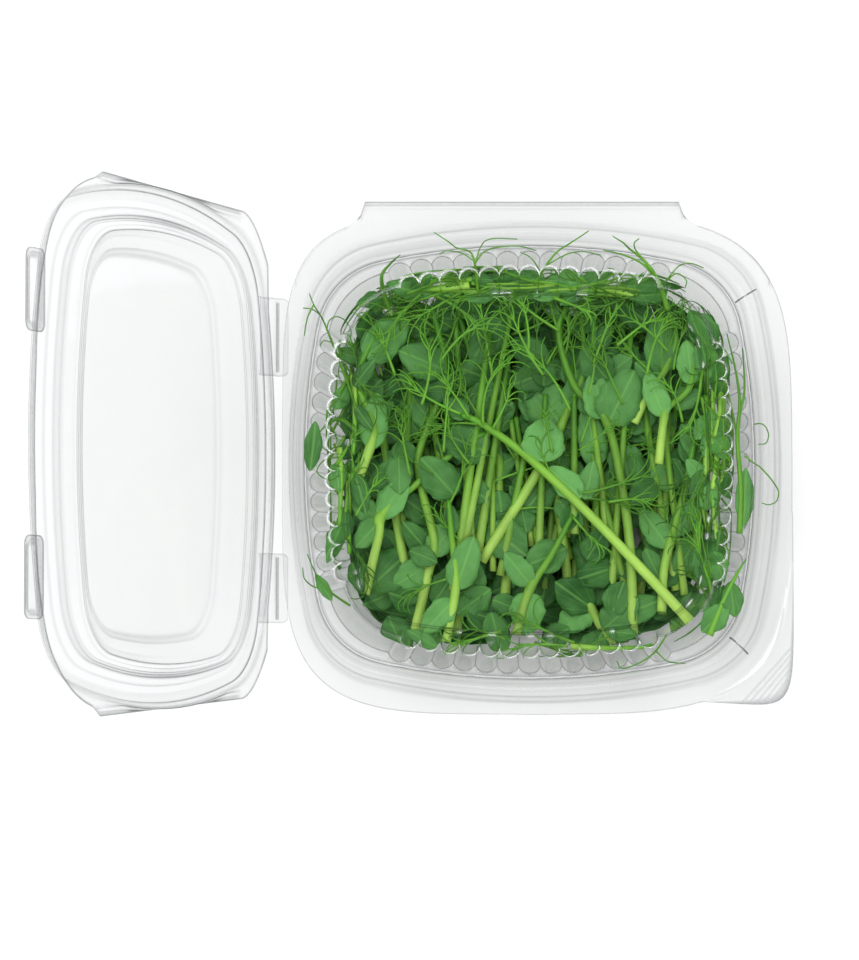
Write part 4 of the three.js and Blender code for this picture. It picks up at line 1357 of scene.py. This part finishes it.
def smooth_path(points: np.ndarray, steps: int) -> np.ndarray:
    """A Catmull-Rom curve through points.

    Args:
        points: The points to pass through.
        steps: How many points to return for each stretch.

    Returns:
        The curve's points.
    """
    ends = np.concatenate([[2 * points[0] - points[1]], points, [2 * points[-1] - points[-2]]])
    curve = []
    for k in range(1, len(ends) - 2):
        p0, p1, p2, p3 = ends[k - 1 : k + 3]
        for t in np.linspace(0, 1, steps, endpoint=False):
            curve.append(0.5 * (2 * p1 + (p2 - p0) * t + (2 * p0 - 5 * p1 + 4 * p2 - p3) * t * t
                                + (3 * p1 - p0 - 3 * p2 + p3) * t**3))
    curve.append(points[-1])
    return np.array(curve)


class GreenMesh:
    """Collects stems, leaves and tendrils of one piece, with the numbers that colour them."""

    def __init__(self) -> None:
        """Starts empty."""
        self.points: list[np.ndarray] = []
        self.faces: list[tuple[int, ...]] = []
        self.slots: list[int] = []
        self.along: list[np.ndarray] = []
        self.tone_and_shade: list[np.ndarray] = []
        self.spot: list[np.ndarray] = []
        self.start = 0

    def add(self, points: np.ndarray, faces: list, slot: int, along: np.ndarray, tone_and_shade: float, spot: np.ndarray) -> None:
        """Adds one closed part.

        Args:
            points: Its points.
            faces: Its faces.
            slot: 0 for leaf, 1 for stem.
            along: How far each point is from the cut end, 0 to 1.
            tone_and_shade: The part's tone, 0 dark to 1 light; for most parts it is darker the deeper they lie in the
                pile, which is painted shade.
            spot: Each point's place on its leaf.
        """
        self.points.append(points)
        self.faces += [tuple(int(i) + self.start for i in face) for face in faces]
        self.slots += [slot] * len(faces)
        self.along.append(along)
        self.tone_and_shade.append(np.full(len(points), tone_and_shade))
        self.spot.append(spot)
        self.start += len(points)

    def tube(self, path: np.ndarray, radii: np.ndarray, sides: int, along: np.ndarray, tone_and_shade: float) -> None:
        """Adds a round tube along a path.

        Args:
            path: The middle line.
            radii: The radius at each point.
            sides: How many sides.
            along: The colour's place at each point.
            tone_and_shade: The part's tone, with any painted shade for its depth.
        """
        ahead = np.gradient(path, axis=0)
        ahead /= np.maximum(np.linalg.norm(ahead, axis=1, keepdims=True), 1e-9)
        up = np.tile((0.0, 0.0, 1.0), (len(path), 1))
        steep = np.abs(ahead[:, 2]) > 0.9
        up[steep] = (1.0, 0.0, 0.0)
        side = np.cross(up, ahead)
        side /= np.maximum(np.linalg.norm(side, axis=1, keepdims=True), 1e-9)
        top = np.cross(ahead, side)
        angle = TWO_PI * np.arange(sides) / sides
        ring = side[:, None, :] * np.cos(angle)[None, :, None] + top[:, None, :] * np.sin(angle)[None, :, None]
        points = (path[:, None, :] + ring * radii[:, None, None]).reshape(-1, 3)
        faces = []
        for r in range(len(path) - 1):
            for k in range(sides):
                a, b = r * sides + k, r * sides + (k + 1) % sides
                faces.append((a, b, b + sides, a + sides))
        last = (len(path) - 1) * sides
        faces.append(tuple(range(sides - 1, -1, -1)))
        faces.append(tuple(last + k for k in range(sides)))
        self.add(points, faces, 1, np.repeat(along, sides), tone_and_shade, np.zeros((len(points), 3)))

    def leaf(self, base: np.ndarray, tip: np.ndarray, width: float, shape: LeafShape, tone_and_shade: float, draw: Draws,
             free: bool = False, steps: int = 22) -> None:
        """Adds a thin, waved, slightly folded blade.

        Args:
            base: Where it leaves the stem.
            tip: Where it ends.
            width: Its greatest width.
            shape: How it narrows.
            tone_and_shade: Its tone, with any painted shade for its depth.
            draw: Draws for its waves.
            free: Whether it lies outside the space under the cover.
            steps: How many rows it has along its length.
        """
        power, bulge = shape.value
        f = 0.5 - 0.5 * np.cos(math.pi * np.linspace(0, 1, steps))
        half = width / 2 * np.sin(math.pi * f**power) ** bulge
        half[0] = half[-1] = 0.05
        phase, turns = draw(0, TWO_PI), draw(2.0, 3.5)
        crimp = 1 + 0.045 * np.sin(f * TWO_PI * 2.5 + phase) + 0.04 * np.sin(f * TWO_PI * 5.2 + phase) * (1 - f * 0.6)
        half = half * crimp
        along = tip - base
        length = np.linalg.norm(along)
        unit = along / max(length, 1e-6)
        across = np.cross((0.0, 0.0, 1.0), unit)
        across /= max(np.linalg.norm(across), 1e-6)
        lean = draw(-0.22, 0.22)
        across = across + np.array((0, 0, lean))
        across /= np.linalg.norm(across)
        top = np.cross(unit, across)
        fold, arch, curl = draw(0.05, 0.2), draw(-0.05, 0.07), draw(-0.04, 0.07)
        v = np.linspace(-1, 1, LEAF_COLUMNS)
        ff, vv = np.meshgrid(f, v, indexing="ij")
        hh = np.repeat(half[:, None], len(v), axis=1)
        lift = fold * hh * np.abs(vv) + arch * length * np.sin(math.pi * ff) - curl * hh * vv**2
        lift += 0.05 * width * np.sin(ff * TWO_PI * turns + phase) * vv**2 * np.sign(vv)
        middle = base + ff[..., None] * along + (vv * hh)[..., None] * across + lift[..., None] * top
        middle = middle if free else keep_inside(middle.reshape(-1, 3), 0.35).reshape(middle.shape)
        normal = top * 0.14
        points = np.concatenate([(middle + normal).reshape(-1, 3), (middle - normal).reshape(-1, 3)])
        spot = np.stack([ff, vv * hh / max(length, 1), np.zeros_like(ff)], axis=-1).reshape(-1, 3)
        spot = np.concatenate([spot, spot])
        self.add(points, slab_faces(steps, len(v)), 0, np.ones(len(points)), tone_and_shade, spot)

    def tendril(self, start: np.ndarray, heading: float, length: float, thick: float, tone_and_shade: float, draw: Draws,
                level: int = 0) -> None:
        """Adds a tendril: a smooth stalk with paired side threads that curl at their ends.

        Args:
            start: Where it begins.
            heading: Its direction in plan, in radians.
            length: Its length.
            thick: Its thickness at the start.
            tone_and_shade: Its tone, with any painted shade for its depth.
            draw: Draws for its curl and branches.
            level: How many times it has branched already.
        """
        steps = max(8, int(length / 1.5))
        step = length / steps
        sway = draw(-0.03, 0.03)
        curl = draw(1.0, 4.6 if level else 3.0) * (1 if draw(-1, 1) > 0 else -1) / max(length, 5)
        rise = draw(-0.04, 0.16)
        forks = {int(steps * f) for f in (0.5, 0.68, 0.85)} if level == 0 else set()
        points, angle, spot = [start.copy()], heading, start.copy()
        for k in range(steps):
            f = k / steps
            angle += (sway + curl * (f if level else f**3)) * step
            spot = spot + step * towards(angle, rise * math.cos(3 * f))
            points.append(spot)
            if k in forks:
                for side in (1, -1):
                    away = angle + side * draw(0.15, 0.6)
                    self.tendril(spot, away, length * draw(0.34, 0.62), thick * 0.5, tone_and_shade, draw, level + 1)
        path = keep_inside(np.array(points), 0.25)
        radii = np.linspace(thick / 2, max(0.16, thick * 0.2), len(path))
        self.tube(path, radii, 5 if level == 0 else 4, np.linspace(0.66, 0.95, len(path)), tone_and_shade)

    def stray(self, plan_path: list[tuple[float, float]], thick: float, tone_and_shade: float) -> None:
        """Adds a thread that slips out over the ledge and the rim.

        Args:
            plan_path: Its points in plan.
            thick: Its thickness.
            tone_and_shade: Its tone, with any painted shade for its depth.
        """
        flat = np.array([(x, y, 0.0) for x, y in plan_path])
        path = over_rim(smooth_path(flat, 9))
        radii = np.linspace(thick / 2, 0.18, len(path))
        self.tube(path, radii, 6, np.linspace(0.6, 0.95, len(path)), tone_and_shade)

    def finish(self, name: str, materials: list[bpy.types.Material]) -> bpy.types.Object:
        """Makes the piece.

        Args:
            name: Its name.
            materials: The leaf and the stem finish.

        Returns:
            The linked object.
        """
        piece = make_object(name, np.concatenate(self.points), self.faces, 180)
        mesh = piece.data
        for material in materials:
            mesh.materials.append(material)
        mesh.polygons.foreach_set("material_index", np.array(self.slots, dtype=np.int32))
        store(mesh, "along", np.concatenate(self.along))
        store(mesh, "tone_and_shade", np.concatenate(self.tone_and_shade))
        layer = mesh.attributes.new("spot", "FLOAT_VECTOR", "POINT")
        layer.data.foreach_set("vector", np.concatenate(self.spot).astype(np.float32).ravel())
        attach(piece, "tray")
        return piece


class RimSide(Enum):
    """The four sides of the rim, by the direction that they face."""

    RIGHT = 0
    BACK = 90
    LEFT = 180
    FRONT = 270

    def place(self, along: float, out: float) -> tuple[float, float]:
        """A point in plan, so far along the side and so far out from the middle."""
        turn = math.radians(self.value)
        x, y = out * math.cos(turn) - along * math.sin(turn), out * math.sin(turn) + along * math.cos(turn)
        return x, y / RIM_Y_SCALE


# Tendrils that lie on top: start x and y, heading in degrees and length.
TOP_TENDRILS = (
    (-23.0, 16.9, 160, 22), (-20.0, 15.5, 120, 20), (-15.3, 13.3, 96, 24), (-12.0, 12.0, 60, 16),
    (10.3, 45.0, 150, 26), (5.0, 30.0, 128, 30), (14.0, 18.0, 112, 30), (22.0, 34.0, 70, 22),
    (-28.6, 4.0, 88, 26), (-36.0, 20.0, 70, 26), (-30.0, 34.0, 60, 24), (-45.0, 30.0, 110, 20),
    (32.0, 20.0, 118, 24), (40.0, 30.0, 84, 22), (30.0, 40.0, 40, 18), (47.0, 38.0, 128, 20),
    (0.0, 38.0, 84, 22), (-12.0, 30.0, 104, 26), (18.0, -10.0, 8, 24), (27.0, -13.0, 12, 14),
    (-20.0, 0.0, 130, 16), (-40.0, -4.0, 100, 18), (8.0, 4.0, 100, 14), (52.0, 14.0, 100, 16),
)

# Threads that slip out over the ledge and the rim: thickness, tone and the points in plan.
STRAYS = (
    (1.2, 0.5, [(-57.0, 14.0), (-59.9, 23.8), (-64.9, 37.1), (-69.2, 47.8), (-72.2, 52.1)]),
    (0.6, 0.6, [(-72.2, 52.1), (-74.2, 47.5), (-75.2, 41.8)]),
    (0.5, 0.6, [(-70.2, 49.5), (-73.0, 50.8), (-75.6, 51.1)]),
    (0.5, 0.6, [(-71.5, 51.2), (-72.6, 53.5), (-73.5, 56.0)]),
    (0.45, 0.5, [(-67.9, 44.0), (-66.9, 47.4), (-64.3, 48.7), (-61.2, 47.1), (-59.8, 43.0), (-62.9, 34.5)]),
    (0.45, 0.5, [(-66.0, 40.0), (-68.8, 40.6), (-70.0, 39.0)]),
    (2.0, 0.45, [(-46.0, 50.0), (-48.6, 56.5), (-49.4, 62.5), (-46.5, 66.5), (-43.2, 69.5)]),
    (0.45, 0.6, [(-47.2, 52.0), (-53.0, 53.8), (-57.3, 52.5), (-58.2, 50.2), (-56.0, 49.2), (-52.4, 53.0),
                 (-49.0, 54.4)]),
    (0.9, 0.8, [(-17.0, 58.0), (-18.2, 66.5), (-19.9, 70.5), (-24.9, 72.1), (-31.9, 76.5)]),
    (0.6, 0.7, [(-18.2, 66.5), (-14.9, 70.6), (-9.9, 72.1), (-3.0, 72.3), (2.5, 70.9)]),
    (0.5, 0.7, [(-18.6, 67.5), (-22.5, 70.0), (-27.5, 70.8), (-30.0, 69.8)]),
    (0.5, 0.6, [(-17.9, 67.0), (-16.0, 72.5), (-12.0, 74.4), (-4.0, 74.2)]),
    (0.9, 0.8, [(2.0, 60.0), (6.1, 66.5), (10.1, 71.1), (15.1, 73.8), (19.8, 77.0)]),
    (0.5, 0.7, [(6.0, 66.0), (12.0, 69.4), (17.5, 70.6), (24.0, 69.4)]),
    (0.5, 0.7, [(4.0, 64.0), (0.5, 68.5), (-3.0, 70.4)]),
    (1.8, 0.75, [(47.0, 52.0), (44.0, 60.0), (39.0, 67.0), (34.0, 71.2), (27.8, 75.2)]),
    (1.0, 0.75, [(44.5, 59.5), (38.0, 66.4), (31.0, 69.6), (24.8, 71.0)]),
    (0.6, 0.7, [(38.0, 68.2), (35.0, 72.4), (36.6, 74.4)]),
    (0.5, 0.7, [(46.1, 61.0), (50.1, 65.6), (54.1, 66.6), (58.4, 65.0)]),
    (0.5, 0.7, [(46.1, 61.0), (49.6, 63.2), (52.6, 61.0), (52.4, 58.5)]),
    (2.2, 0.6, [(70.2, -24.0), (70.6, -8.0), (69.6, 8.0), (70.4, 20.0), (69.0, 31.0), (66.2, 43.0)]),
    (1.2, 0.6, [(69.8, 14.0), (72.0, 24.0), (71.4, 38.0)]),
    (0.9, 0.5, [(69.6, 8.0), (67.5, 20.0), (64.5, 35.0)]),
    (0.6, 0.7, [(68.0, 33.0), (65.5, 38.0), (63.4, 38.6)]),
    (0.6, 0.7, [(71.8, 2.1), (75.4, -0.8), (79.4, -4.9), (82.8, -9.5), (82.4, -13.2), (79.6, -14.6), (77.2, -14.0)]),
    (0.5, 0.6, [(75.2, 12.6), (78.0, 12.0), (79.6, 8.8), (78.6, 5.9), (76.2, 5.6)]),
    (0.9, 0.5, [(-60.0, -48.0), (-66.5, -43.5), (-71.0, -38.0), (-74.2, -31.0)]),
    (0.6, 0.5, [(-68.0, -42.0), (-72.0, -41.8), (-75.0, -39.2), (-75.6, -35.5)]),
    (0.7, 0.6, [(46.0, -58.0), (41.8, -63.6), (36.8, -67.1), (31.0, -69.0), (29.0, -66.6)]),
    (0.5, 0.6, [(42.0, -63.0), (46.0, -66.6), (52.0, -67.4)]),
    (2.6, 0.9, [(60.0, -58.0), (64.5, -47.0), (69.0, -38.0), (72.4, -32.5)]),
    (1.6, 0.5, [(-58.0, 11.0), (-63.3, 14.8), (-68.0, 12.4), (-70.5, 9.2)]),
    (0.5, 0.5, [(-66.0, 12.0), (-64.5, 7.0), (-67.2, 4.0), (-69.8, 5.4)]),
    (0.5, 0.5, [(-64.0, 2.0), (-68.6, 0.6), (-71.0, -3.4), (-67.0, -6.0), (-63.5, -4.0)]),
)

# Leaves out at the rim: base x and y, tip x and y, width.
STRAY_LEAVES = (
    (-73.4, -3.2, -71.6, 13.6, 6.2),
    (71.4, -22.0, 72.4, -2.0, 6.4),
    (66.0, -48.0, 57.5, -57.0, 8.5),
    (67.0, -40.0, 68.6, -52.0, 7.5),
    (-66.0, -46.5, -71.5, -37.5, 4.0),
)


@dataclass
class ShootPile:
    """All the greens: the shoots of the frame, and the small stuff between and under them."""

    materials: list[bpy.types.Material]
    under_pieces: int = 6
    leaves_per_piece: int = 62
    wisps_per_piece: int = 16

    def plans(self) -> list[ShootPlan]:
        """Every shoot's plan, in the order of the frame's nodes."""
        found = list(LAID_SHOOTS)
        for layer, (_, count) in enumerate(UNDER_LAYERS):
            draw = Draws(UNDER_SEED + layer)
            found += [under_shoot(layer, i, draw) for i in range(count)]
        return found

    def shoot(self, index: int, shoot: ShootPlan) -> bpy.types.Object:
        """Makes one fine shoot in place of its solid.

        Args:
            index: Its place in the pile.
            shoot: Its plan.

        Returns:
            The finished piece.
        """
        node = f"shoot_{index + 1:02d}"
        low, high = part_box(node)
        level = (low[2] + high[2]) / 2 / METRES
        draw = Draws(SHOOT_SEED + index)
        mesh = GreenMesh()
        top_layer = index < len(LAID_SHOOTS)
        # Parts lower in the pile get darker tones below: painted shade for their depth.
        depth = min(1.0, level / 27.0)
        plan_points = np.array([(x, y, level) for x, y in shoot.path])
        if plan_points[0, 1] < -50:
            first = plan_points[0] - plan_points[1]
            plan_points[0] += first / np.linalg.norm(first) * draw(1.5, 5.5)
        stem = keep_inside(smooth_path(plan_points, 8), shoot.thick / 2)
        stem[:, 2] += 0.25 * np.sin(np.linspace(0, 9, len(stem)))
        f = np.linspace(0, 1, len(stem))
        radii = shoot.thick / 2 * (1 - 0.5 * f**1.3)
        for base_x, base_y, *_ in shoot.leaves:
            near = np.linalg.norm(stem[:, :2] - (base_x, base_y), axis=1)
            radii = radii + 0.28 * np.exp(-((near / 1.6) ** 2))
        radii[-1] *= 0.5
        stem_tone_and_shade = draw(0.55, 0.95) * (0.55 + 0.45 * depth)
        mesh.tube(stem, radii, 12, f, stem_tone_and_shade)
        for base_x, base_y, tip_x, tip_y, width in shoot.leaves:
            near = int(np.argmin(np.linalg.norm(stem[:, :2] - (base_x, base_y), axis=1)))
            base = np.array((base_x, base_y, stem[near, 2] + 0.3))
            tip = np.array((tip_x, tip_y, level + draw(-1.4, 0.9)))
            shape = LeafShape.ROUND if width > 9 else LeafShape.OVAL
            mesh.leaf(base, tip, width * 1.08, shape, draw(0.6, 1.05) * (0.2 + 0.8 * depth), draw)
        for from_x, from_y, to_x, to_y, _ in shoot.tendrils:
            start = np.array((from_x, from_y, level))
            away = math.atan2(to_y - from_y, to_x - from_x)
            size = math.hypot(to_x - from_x, to_y - from_y)
            mesh.tendril(start, away, size * 1.1, 1.0, draw(0.4, 0.9), draw)
        for _ in range(1 if top_layer else 2):
            spot = stem[int(draw(0.45, 0.98) * (len(stem) - 1))] - (0, 0, 2.0)
            tone_and_shade = draw(0.15, 0.7) * (0.4 + 0.6 * depth)
            away = math.pi / 2 + draw(-1.3, 1.3)
            size = draw(6, 11)
            tip = spot + size * towards(away, draw(-0.35, 0.15))
            mesh.leaf(spot, tip, size * draw(0.5, 0.8), LeafShape.OVAL, tone_and_shade, draw)
        piece = mesh.finish(f"{node}_grown", self.materials)
        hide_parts(node)
        return piece

    def under_greens(self, index: int) -> bpy.types.Object:
        """Makes loose leaves, thin side stems and wisps in one band of depth.

        Args:
            index: Which band, from the floor up.

        Returns:
            The finished piece.
        """
        draw = Draws(LOOSE_SEED + index)
        mesh = GreenMesh()
        low = 2.5 + index * 3.5
        # These greens lie under the shoots and get dark tones throughout, darker still in lower bands: painted shade.
        depth = (index + 0.5) / self.under_pieces
        bottom = index == 0
        for _ in range(self.leaves_per_piece * (2 if bottom else 1)):
            base = np.array((draw(-62, 62), draw(-59, 60), draw(low, low + 4)))
            away, size = draw(0, TWO_PI), draw(16, 24) if bottom else draw(10, 18)
            tip = base + size * towards(away, draw(-0.3, 0.3))
            tone_and_shade = draw(0.0, 0.3) + 0.2 * depth
            shape = (LeafShape.ROUND, LeafShape.OVAL, LeafShape.LONG)[int(draw(0, 2.999))]
            mesh.leaf(base, tip, size * draw(0.55, 0.85), shape, tone_and_shade, draw, steps=16)
        for _ in range(8):
            x, lean = draw(-60, 60), draw(-0.3, 0.3)
            y0, y1 = draw(-57, -20), draw(10, 58)
            level = draw(low, low + 5)
            points = np.array([(x + lean * y, y, level + draw(-0.8, 0.8)) for y in np.linspace(y0, y1, 4)])
            stem = keep_inside(smooth_path(points, 6), 1.6)
            f = np.linspace(0, 1, len(stem))
            mesh.tube(stem, draw(1.2, 1.7) * (1 - 0.4 * f), 9, f * 0.8 + 0.1, draw(0.1, 0.4) + 0.4 * depth)
        for _ in range(self.wisps_per_piece):
            start = np.array((draw(-60, 60), draw(-20, 58), draw(low, low + 5)))
            tone_and_shade = draw(0.2, 0.5) + 0.4 * depth
            mesh.tendril(start, math.pi / 2 + draw(-1.4, 1.4), draw(14, 30), draw(0.7, 1.0), tone_and_shade, draw)
        return mesh.finish(f"loose_greens_{index + 1}", self.materials)

    def top_tangle(self) -> bpy.types.Object:
        """Makes the tendrils that lie over the leaves, close under the pane, thickest at the back."""
        draw = Draws(TANGLE_SEED)
        mesh = GreenMesh()
        for x, y, heading, length in TOP_TENDRILS:
            start = np.array((x, y, 29.6))
            mesh.tendril(start, math.radians(heading), length, 1.15, draw(0.6, 1.0), draw)
        for _ in range(12):
            start = np.array((draw(-50, 52), draw(22, 50), draw(26.5, 29.0)))
            mesh.tendril(start, math.pi / 2 + draw(-1.2, 1.2), draw(14, 26), draw(0.7, 1.0), draw(0.2, 0.8), draw)
        for _ in range(7):
            start = np.array((draw(-52, 55), draw(-45, 10), draw(27.0, 29.5)))
            mesh.tendril(start, math.pi / 2 + draw(-1.5, 1.5), draw(8, 17), draw(0.55, 0.8), draw(0.3, 0.8), draw)
        return mesh.finish("top_tendrils", self.materials)

    def rim_greens(self) -> bpy.types.Object:
        """Makes the greens that press up between the cover's wall and the tray's, and the strays beyond."""
        draw = Draws(RIM_SEED)
        mesh = GreenMesh()
        for side, count in ((RimSide.BACK, 64), (RimSide.RIGHT, 54), (RimSide.LEFT, 22), (RimSide.FRONT, 9)):
            for _ in range(count):
                along = draw(-50, 50) if side in (RimSide.BACK, RimSide.RIGHT) else draw(-54, 40)
                spot = side.place(along, draw(58, 66))
                heading = math.radians(side.value) + math.pi / 2 * (1 if draw(-1, 1) > 0 else -1) + draw(-0.7, 0.7)
                start = np.array((*spot, draw(27, 36)))
                tone_and_shade = draw(0.2, 0.9)
                if draw(0, 1) < 0.36:
                    size = draw(8, 15)
                    tip = start + size * towards(heading, draw(-0.2, 0.4))
                    mesh.leaf(start, tip, size * draw(0.45, 0.7), LeafShape.OVAL, tone_and_shade * 0.8, draw)
                else:
                    mesh.tendril(start, heading, draw(12, 26), draw(0.8, 1.5), tone_and_shade, draw)
            for _ in range(count // 7):
                along, bow = draw(-44, 24), draw(-2, 2)
                reach = draw(59, 65)
                outs = [(t, reach + bow * math.sin(t / 9)) for t in (0, 9, 19, 28)]
                points = [(*side.place(along + t, out), 30 + draw(0, 4)) for t, out in outs]
                stem = keep_inside(smooth_path(np.array(points), 6), 1.3)
                f = np.linspace(0, 1, len(stem))
                mesh.tube(stem, draw(0.8, 1.5) * (1 - 0.4 * f), 9, 0.2 + f * 0.6, draw(0.5, 1.0))
        for thick, tone_and_shade, path in STRAYS:
            mesh.stray(path, thick, tone_and_shade)
        for base_x, base_y, tip_x, tip_y, width in STRAY_LEAVES:
            ends = over_rim(np.array([(base_x, base_y, 0.0), (tip_x, tip_y, 0.0)]))
            mesh.leaf(ends[0], ends[1], width, LeafShape.LONG, draw(0.35, 0.6), draw, free=True)
        return mesh.finish("rim_greens", self.materials)

    def build(self) -> list[bpy.types.Object]:
        """Makes every piece of the pile."""
        pieces = [self.shoot(i, shoot) for i, shoot in enumerate(self.plans())]
        pieces += [self.under_greens(i) for i in range(self.under_pieces)]
        return pieces + [self.top_tangle(), self.rim_greens()]


# Stage


@dataclass
class Studio:
    """The pale floor, soft light and camera."""

    floor_size: float = 6.0
    floor_grey: Colour = (0.79, 0.79, 0.79, 1)
    world_level: float = 0.9

    def camera(self) -> bpy.types.Object:
        """Places the camera above the rim, nearly straight down.

        Returns:
            The camera.
        """
        data = bpy.data.cameras.new("camera")
        data.lens = LENS_MM
        data.sensor_width = 36.0
        data.clip_end = 20.0
        view = placed("camera", data)
        view.location = Vector((CAMERA_X, CAMERA_Y, FLANGE_Z + CAMERA_ABOVE_RIM)) * METRES
        aim = Vector((CAMERA_X, AIM_Y, FLANGE_Z)) * METRES
        view.rotation_euler = (aim - view.location).to_track_quat("-Z", "Y").to_euler()
        bpy.context.scene.camera = view
        return view

    def floor(self) -> bpy.types.Object:
        """Lays a plain pale floor."""
        half = self.floor_size / 2
        mesh = bpy.data.meshes.new("floor")
        corners = [(-half, -half, 0), (half, -half, 0), (half, half, 0), (-half, half, 0)]
        mesh.from_pydata(corners, [], [(0, 1, 2, 3)])
        floor = placed("floor", mesh)
        material, tree, output = new_material("pale_floor")
        values = {"Base Color": self.floor_grey, "Roughness": 0.9, "Specular IOR Level": 0.0}
        paint = new_node(tree, "ShaderNodeBsdfPrincipled", values)
        fill(tree, output, {"Surface": paint.outputs[0]})
        mesh.materials.append(material)
        return floor

    def world(self) -> None:
        """Soft white surroundings with a darker band, which gives the clear plastic its lines."""
        world = bpy.data.worlds.new("studio")
        bpy.context.scene.world = world
        world.use_nodes = True
        tree = world.node_tree
        tree.nodes.clear()
        place = new_node(tree, "ShaderNodeTexCoord").outputs["Generated"]
        split = new_node(tree, "ShaderNodeSeparateXYZ", {0: place})
        ramp = new_node(tree, "ShaderNodeValToRGB", {"Fac": split.outputs["Z"]})
        stops = ((0.0, 0.8), (0.1, 0.5), (0.3, 0.45), (0.45, 0.95), (1.0, 1.0))
        elements = ramp.color_ramp.elements
        while len(elements) < len(stops):
            elements.new(0.5)
        for element, (position, level) in zip(elements, stops):
            element.position = position
            element.color = (level, level, level, 1)
        values = {"Color": ramp.outputs["Color"], "Strength": self.world_level}
        light = new_node(tree, "ShaderNodeBackground", values)
        new_node(tree, "ShaderNodeOutputWorld", {"Surface": light.outputs[0]})

    def lamp(self, name: str, place: tuple, size: float, power: float) -> None:
        """Adds a soft square lamp that faces the tray.

        Args:
            name: Its name.
            place: Where it stands, in metres.
            size: Its width in metres.
            power: Its power in watts.
        """
        data = bpy.data.lights.new(name, "AREA")
        data.size = size
        data.energy = power
        lamp = placed(name, data)
        lamp.location = place
        lamp.rotation_euler = (Vector((0, 0, 0.03)) - lamp.location).to_track_quat("-Z", "Y").to_euler()

    def build(self) -> None:
        """Sets up the whole stage."""
        self.floor()
        self.world()
        self.lamp("key", (-0.5, 0.6, 1.9), 1.5, 26.0)
        self.lamp("fill", (0.9, -0.4, 1.7), 1.2, 7.0)
        view = bpy.context.scene.view_settings
        view.view_transform = "Standard"
        view.exposure = 0.0
        cycles = bpy.context.scene.cycles
        cycles.transparent_max_bounces = 32
        cycles.max_bounces = 6
        cycles.diffuse_bounces = 3
        cycles.glossy_bounces = 3


def main() -> None:
    """Builds every piece in order and reports it."""
    logging.basicConfig(level=logging.INFO, format="%(name)s: %(message)s")
    studio = Studio()
    studio.camera()
    ripple, tone_and_shade = sheet_ripple_group(), plant_tone_and_shade_group()
    tray_tints = {"face_tint": (0.94, 0.942, 0.945, 1.0), "steep_shade_grey": (0.93, 0.935, 0.93, 1.0)}
    cover_tints = {"face_tint": (0.978, 0.98, 0.978, 1.0), "steep_shade_grey": (0.93, 0.945, 0.93, 1.0)}
    tray_sheet = ClearSheet("clear_tray", 40.0, 1.0, **tray_tints, mirror=0.4, line=0.68).make(ripple)
    cover_sheet = ClearSheet("clear_cover", 55.0, 0.8, **cover_tints, mirror=0.7, line=0.5).make(ripple)
    lid_sheet = ClearSheet("clear_lid", 30.0, 1.2, face_tint=(0.942, 0.944, 0.948, 1.0)).make(ripple)
    pieces = [BaseTray().build(tray_sheet), InnerCover().build(cover_sheet), Lid().build(lid_sheet)]
    for label, (y, length) in zip(("upper", "lower"), STRAPS):
        pieces.append(HingeStrap(f"hinge_strap_{label}", y, length).build(tray_sheet))
    pieces += ShootPile([LeafSkin().make(tone_and_shade), StemSkin().make(tone_and_shade)]).build()
    studio.build()
    for piece in pieces:
        log.info("%s: %d faces", piece.name, len(piece.data.polygons))
    bpy.context.view_layer.update()


if __name__ == "__main__":
    main()
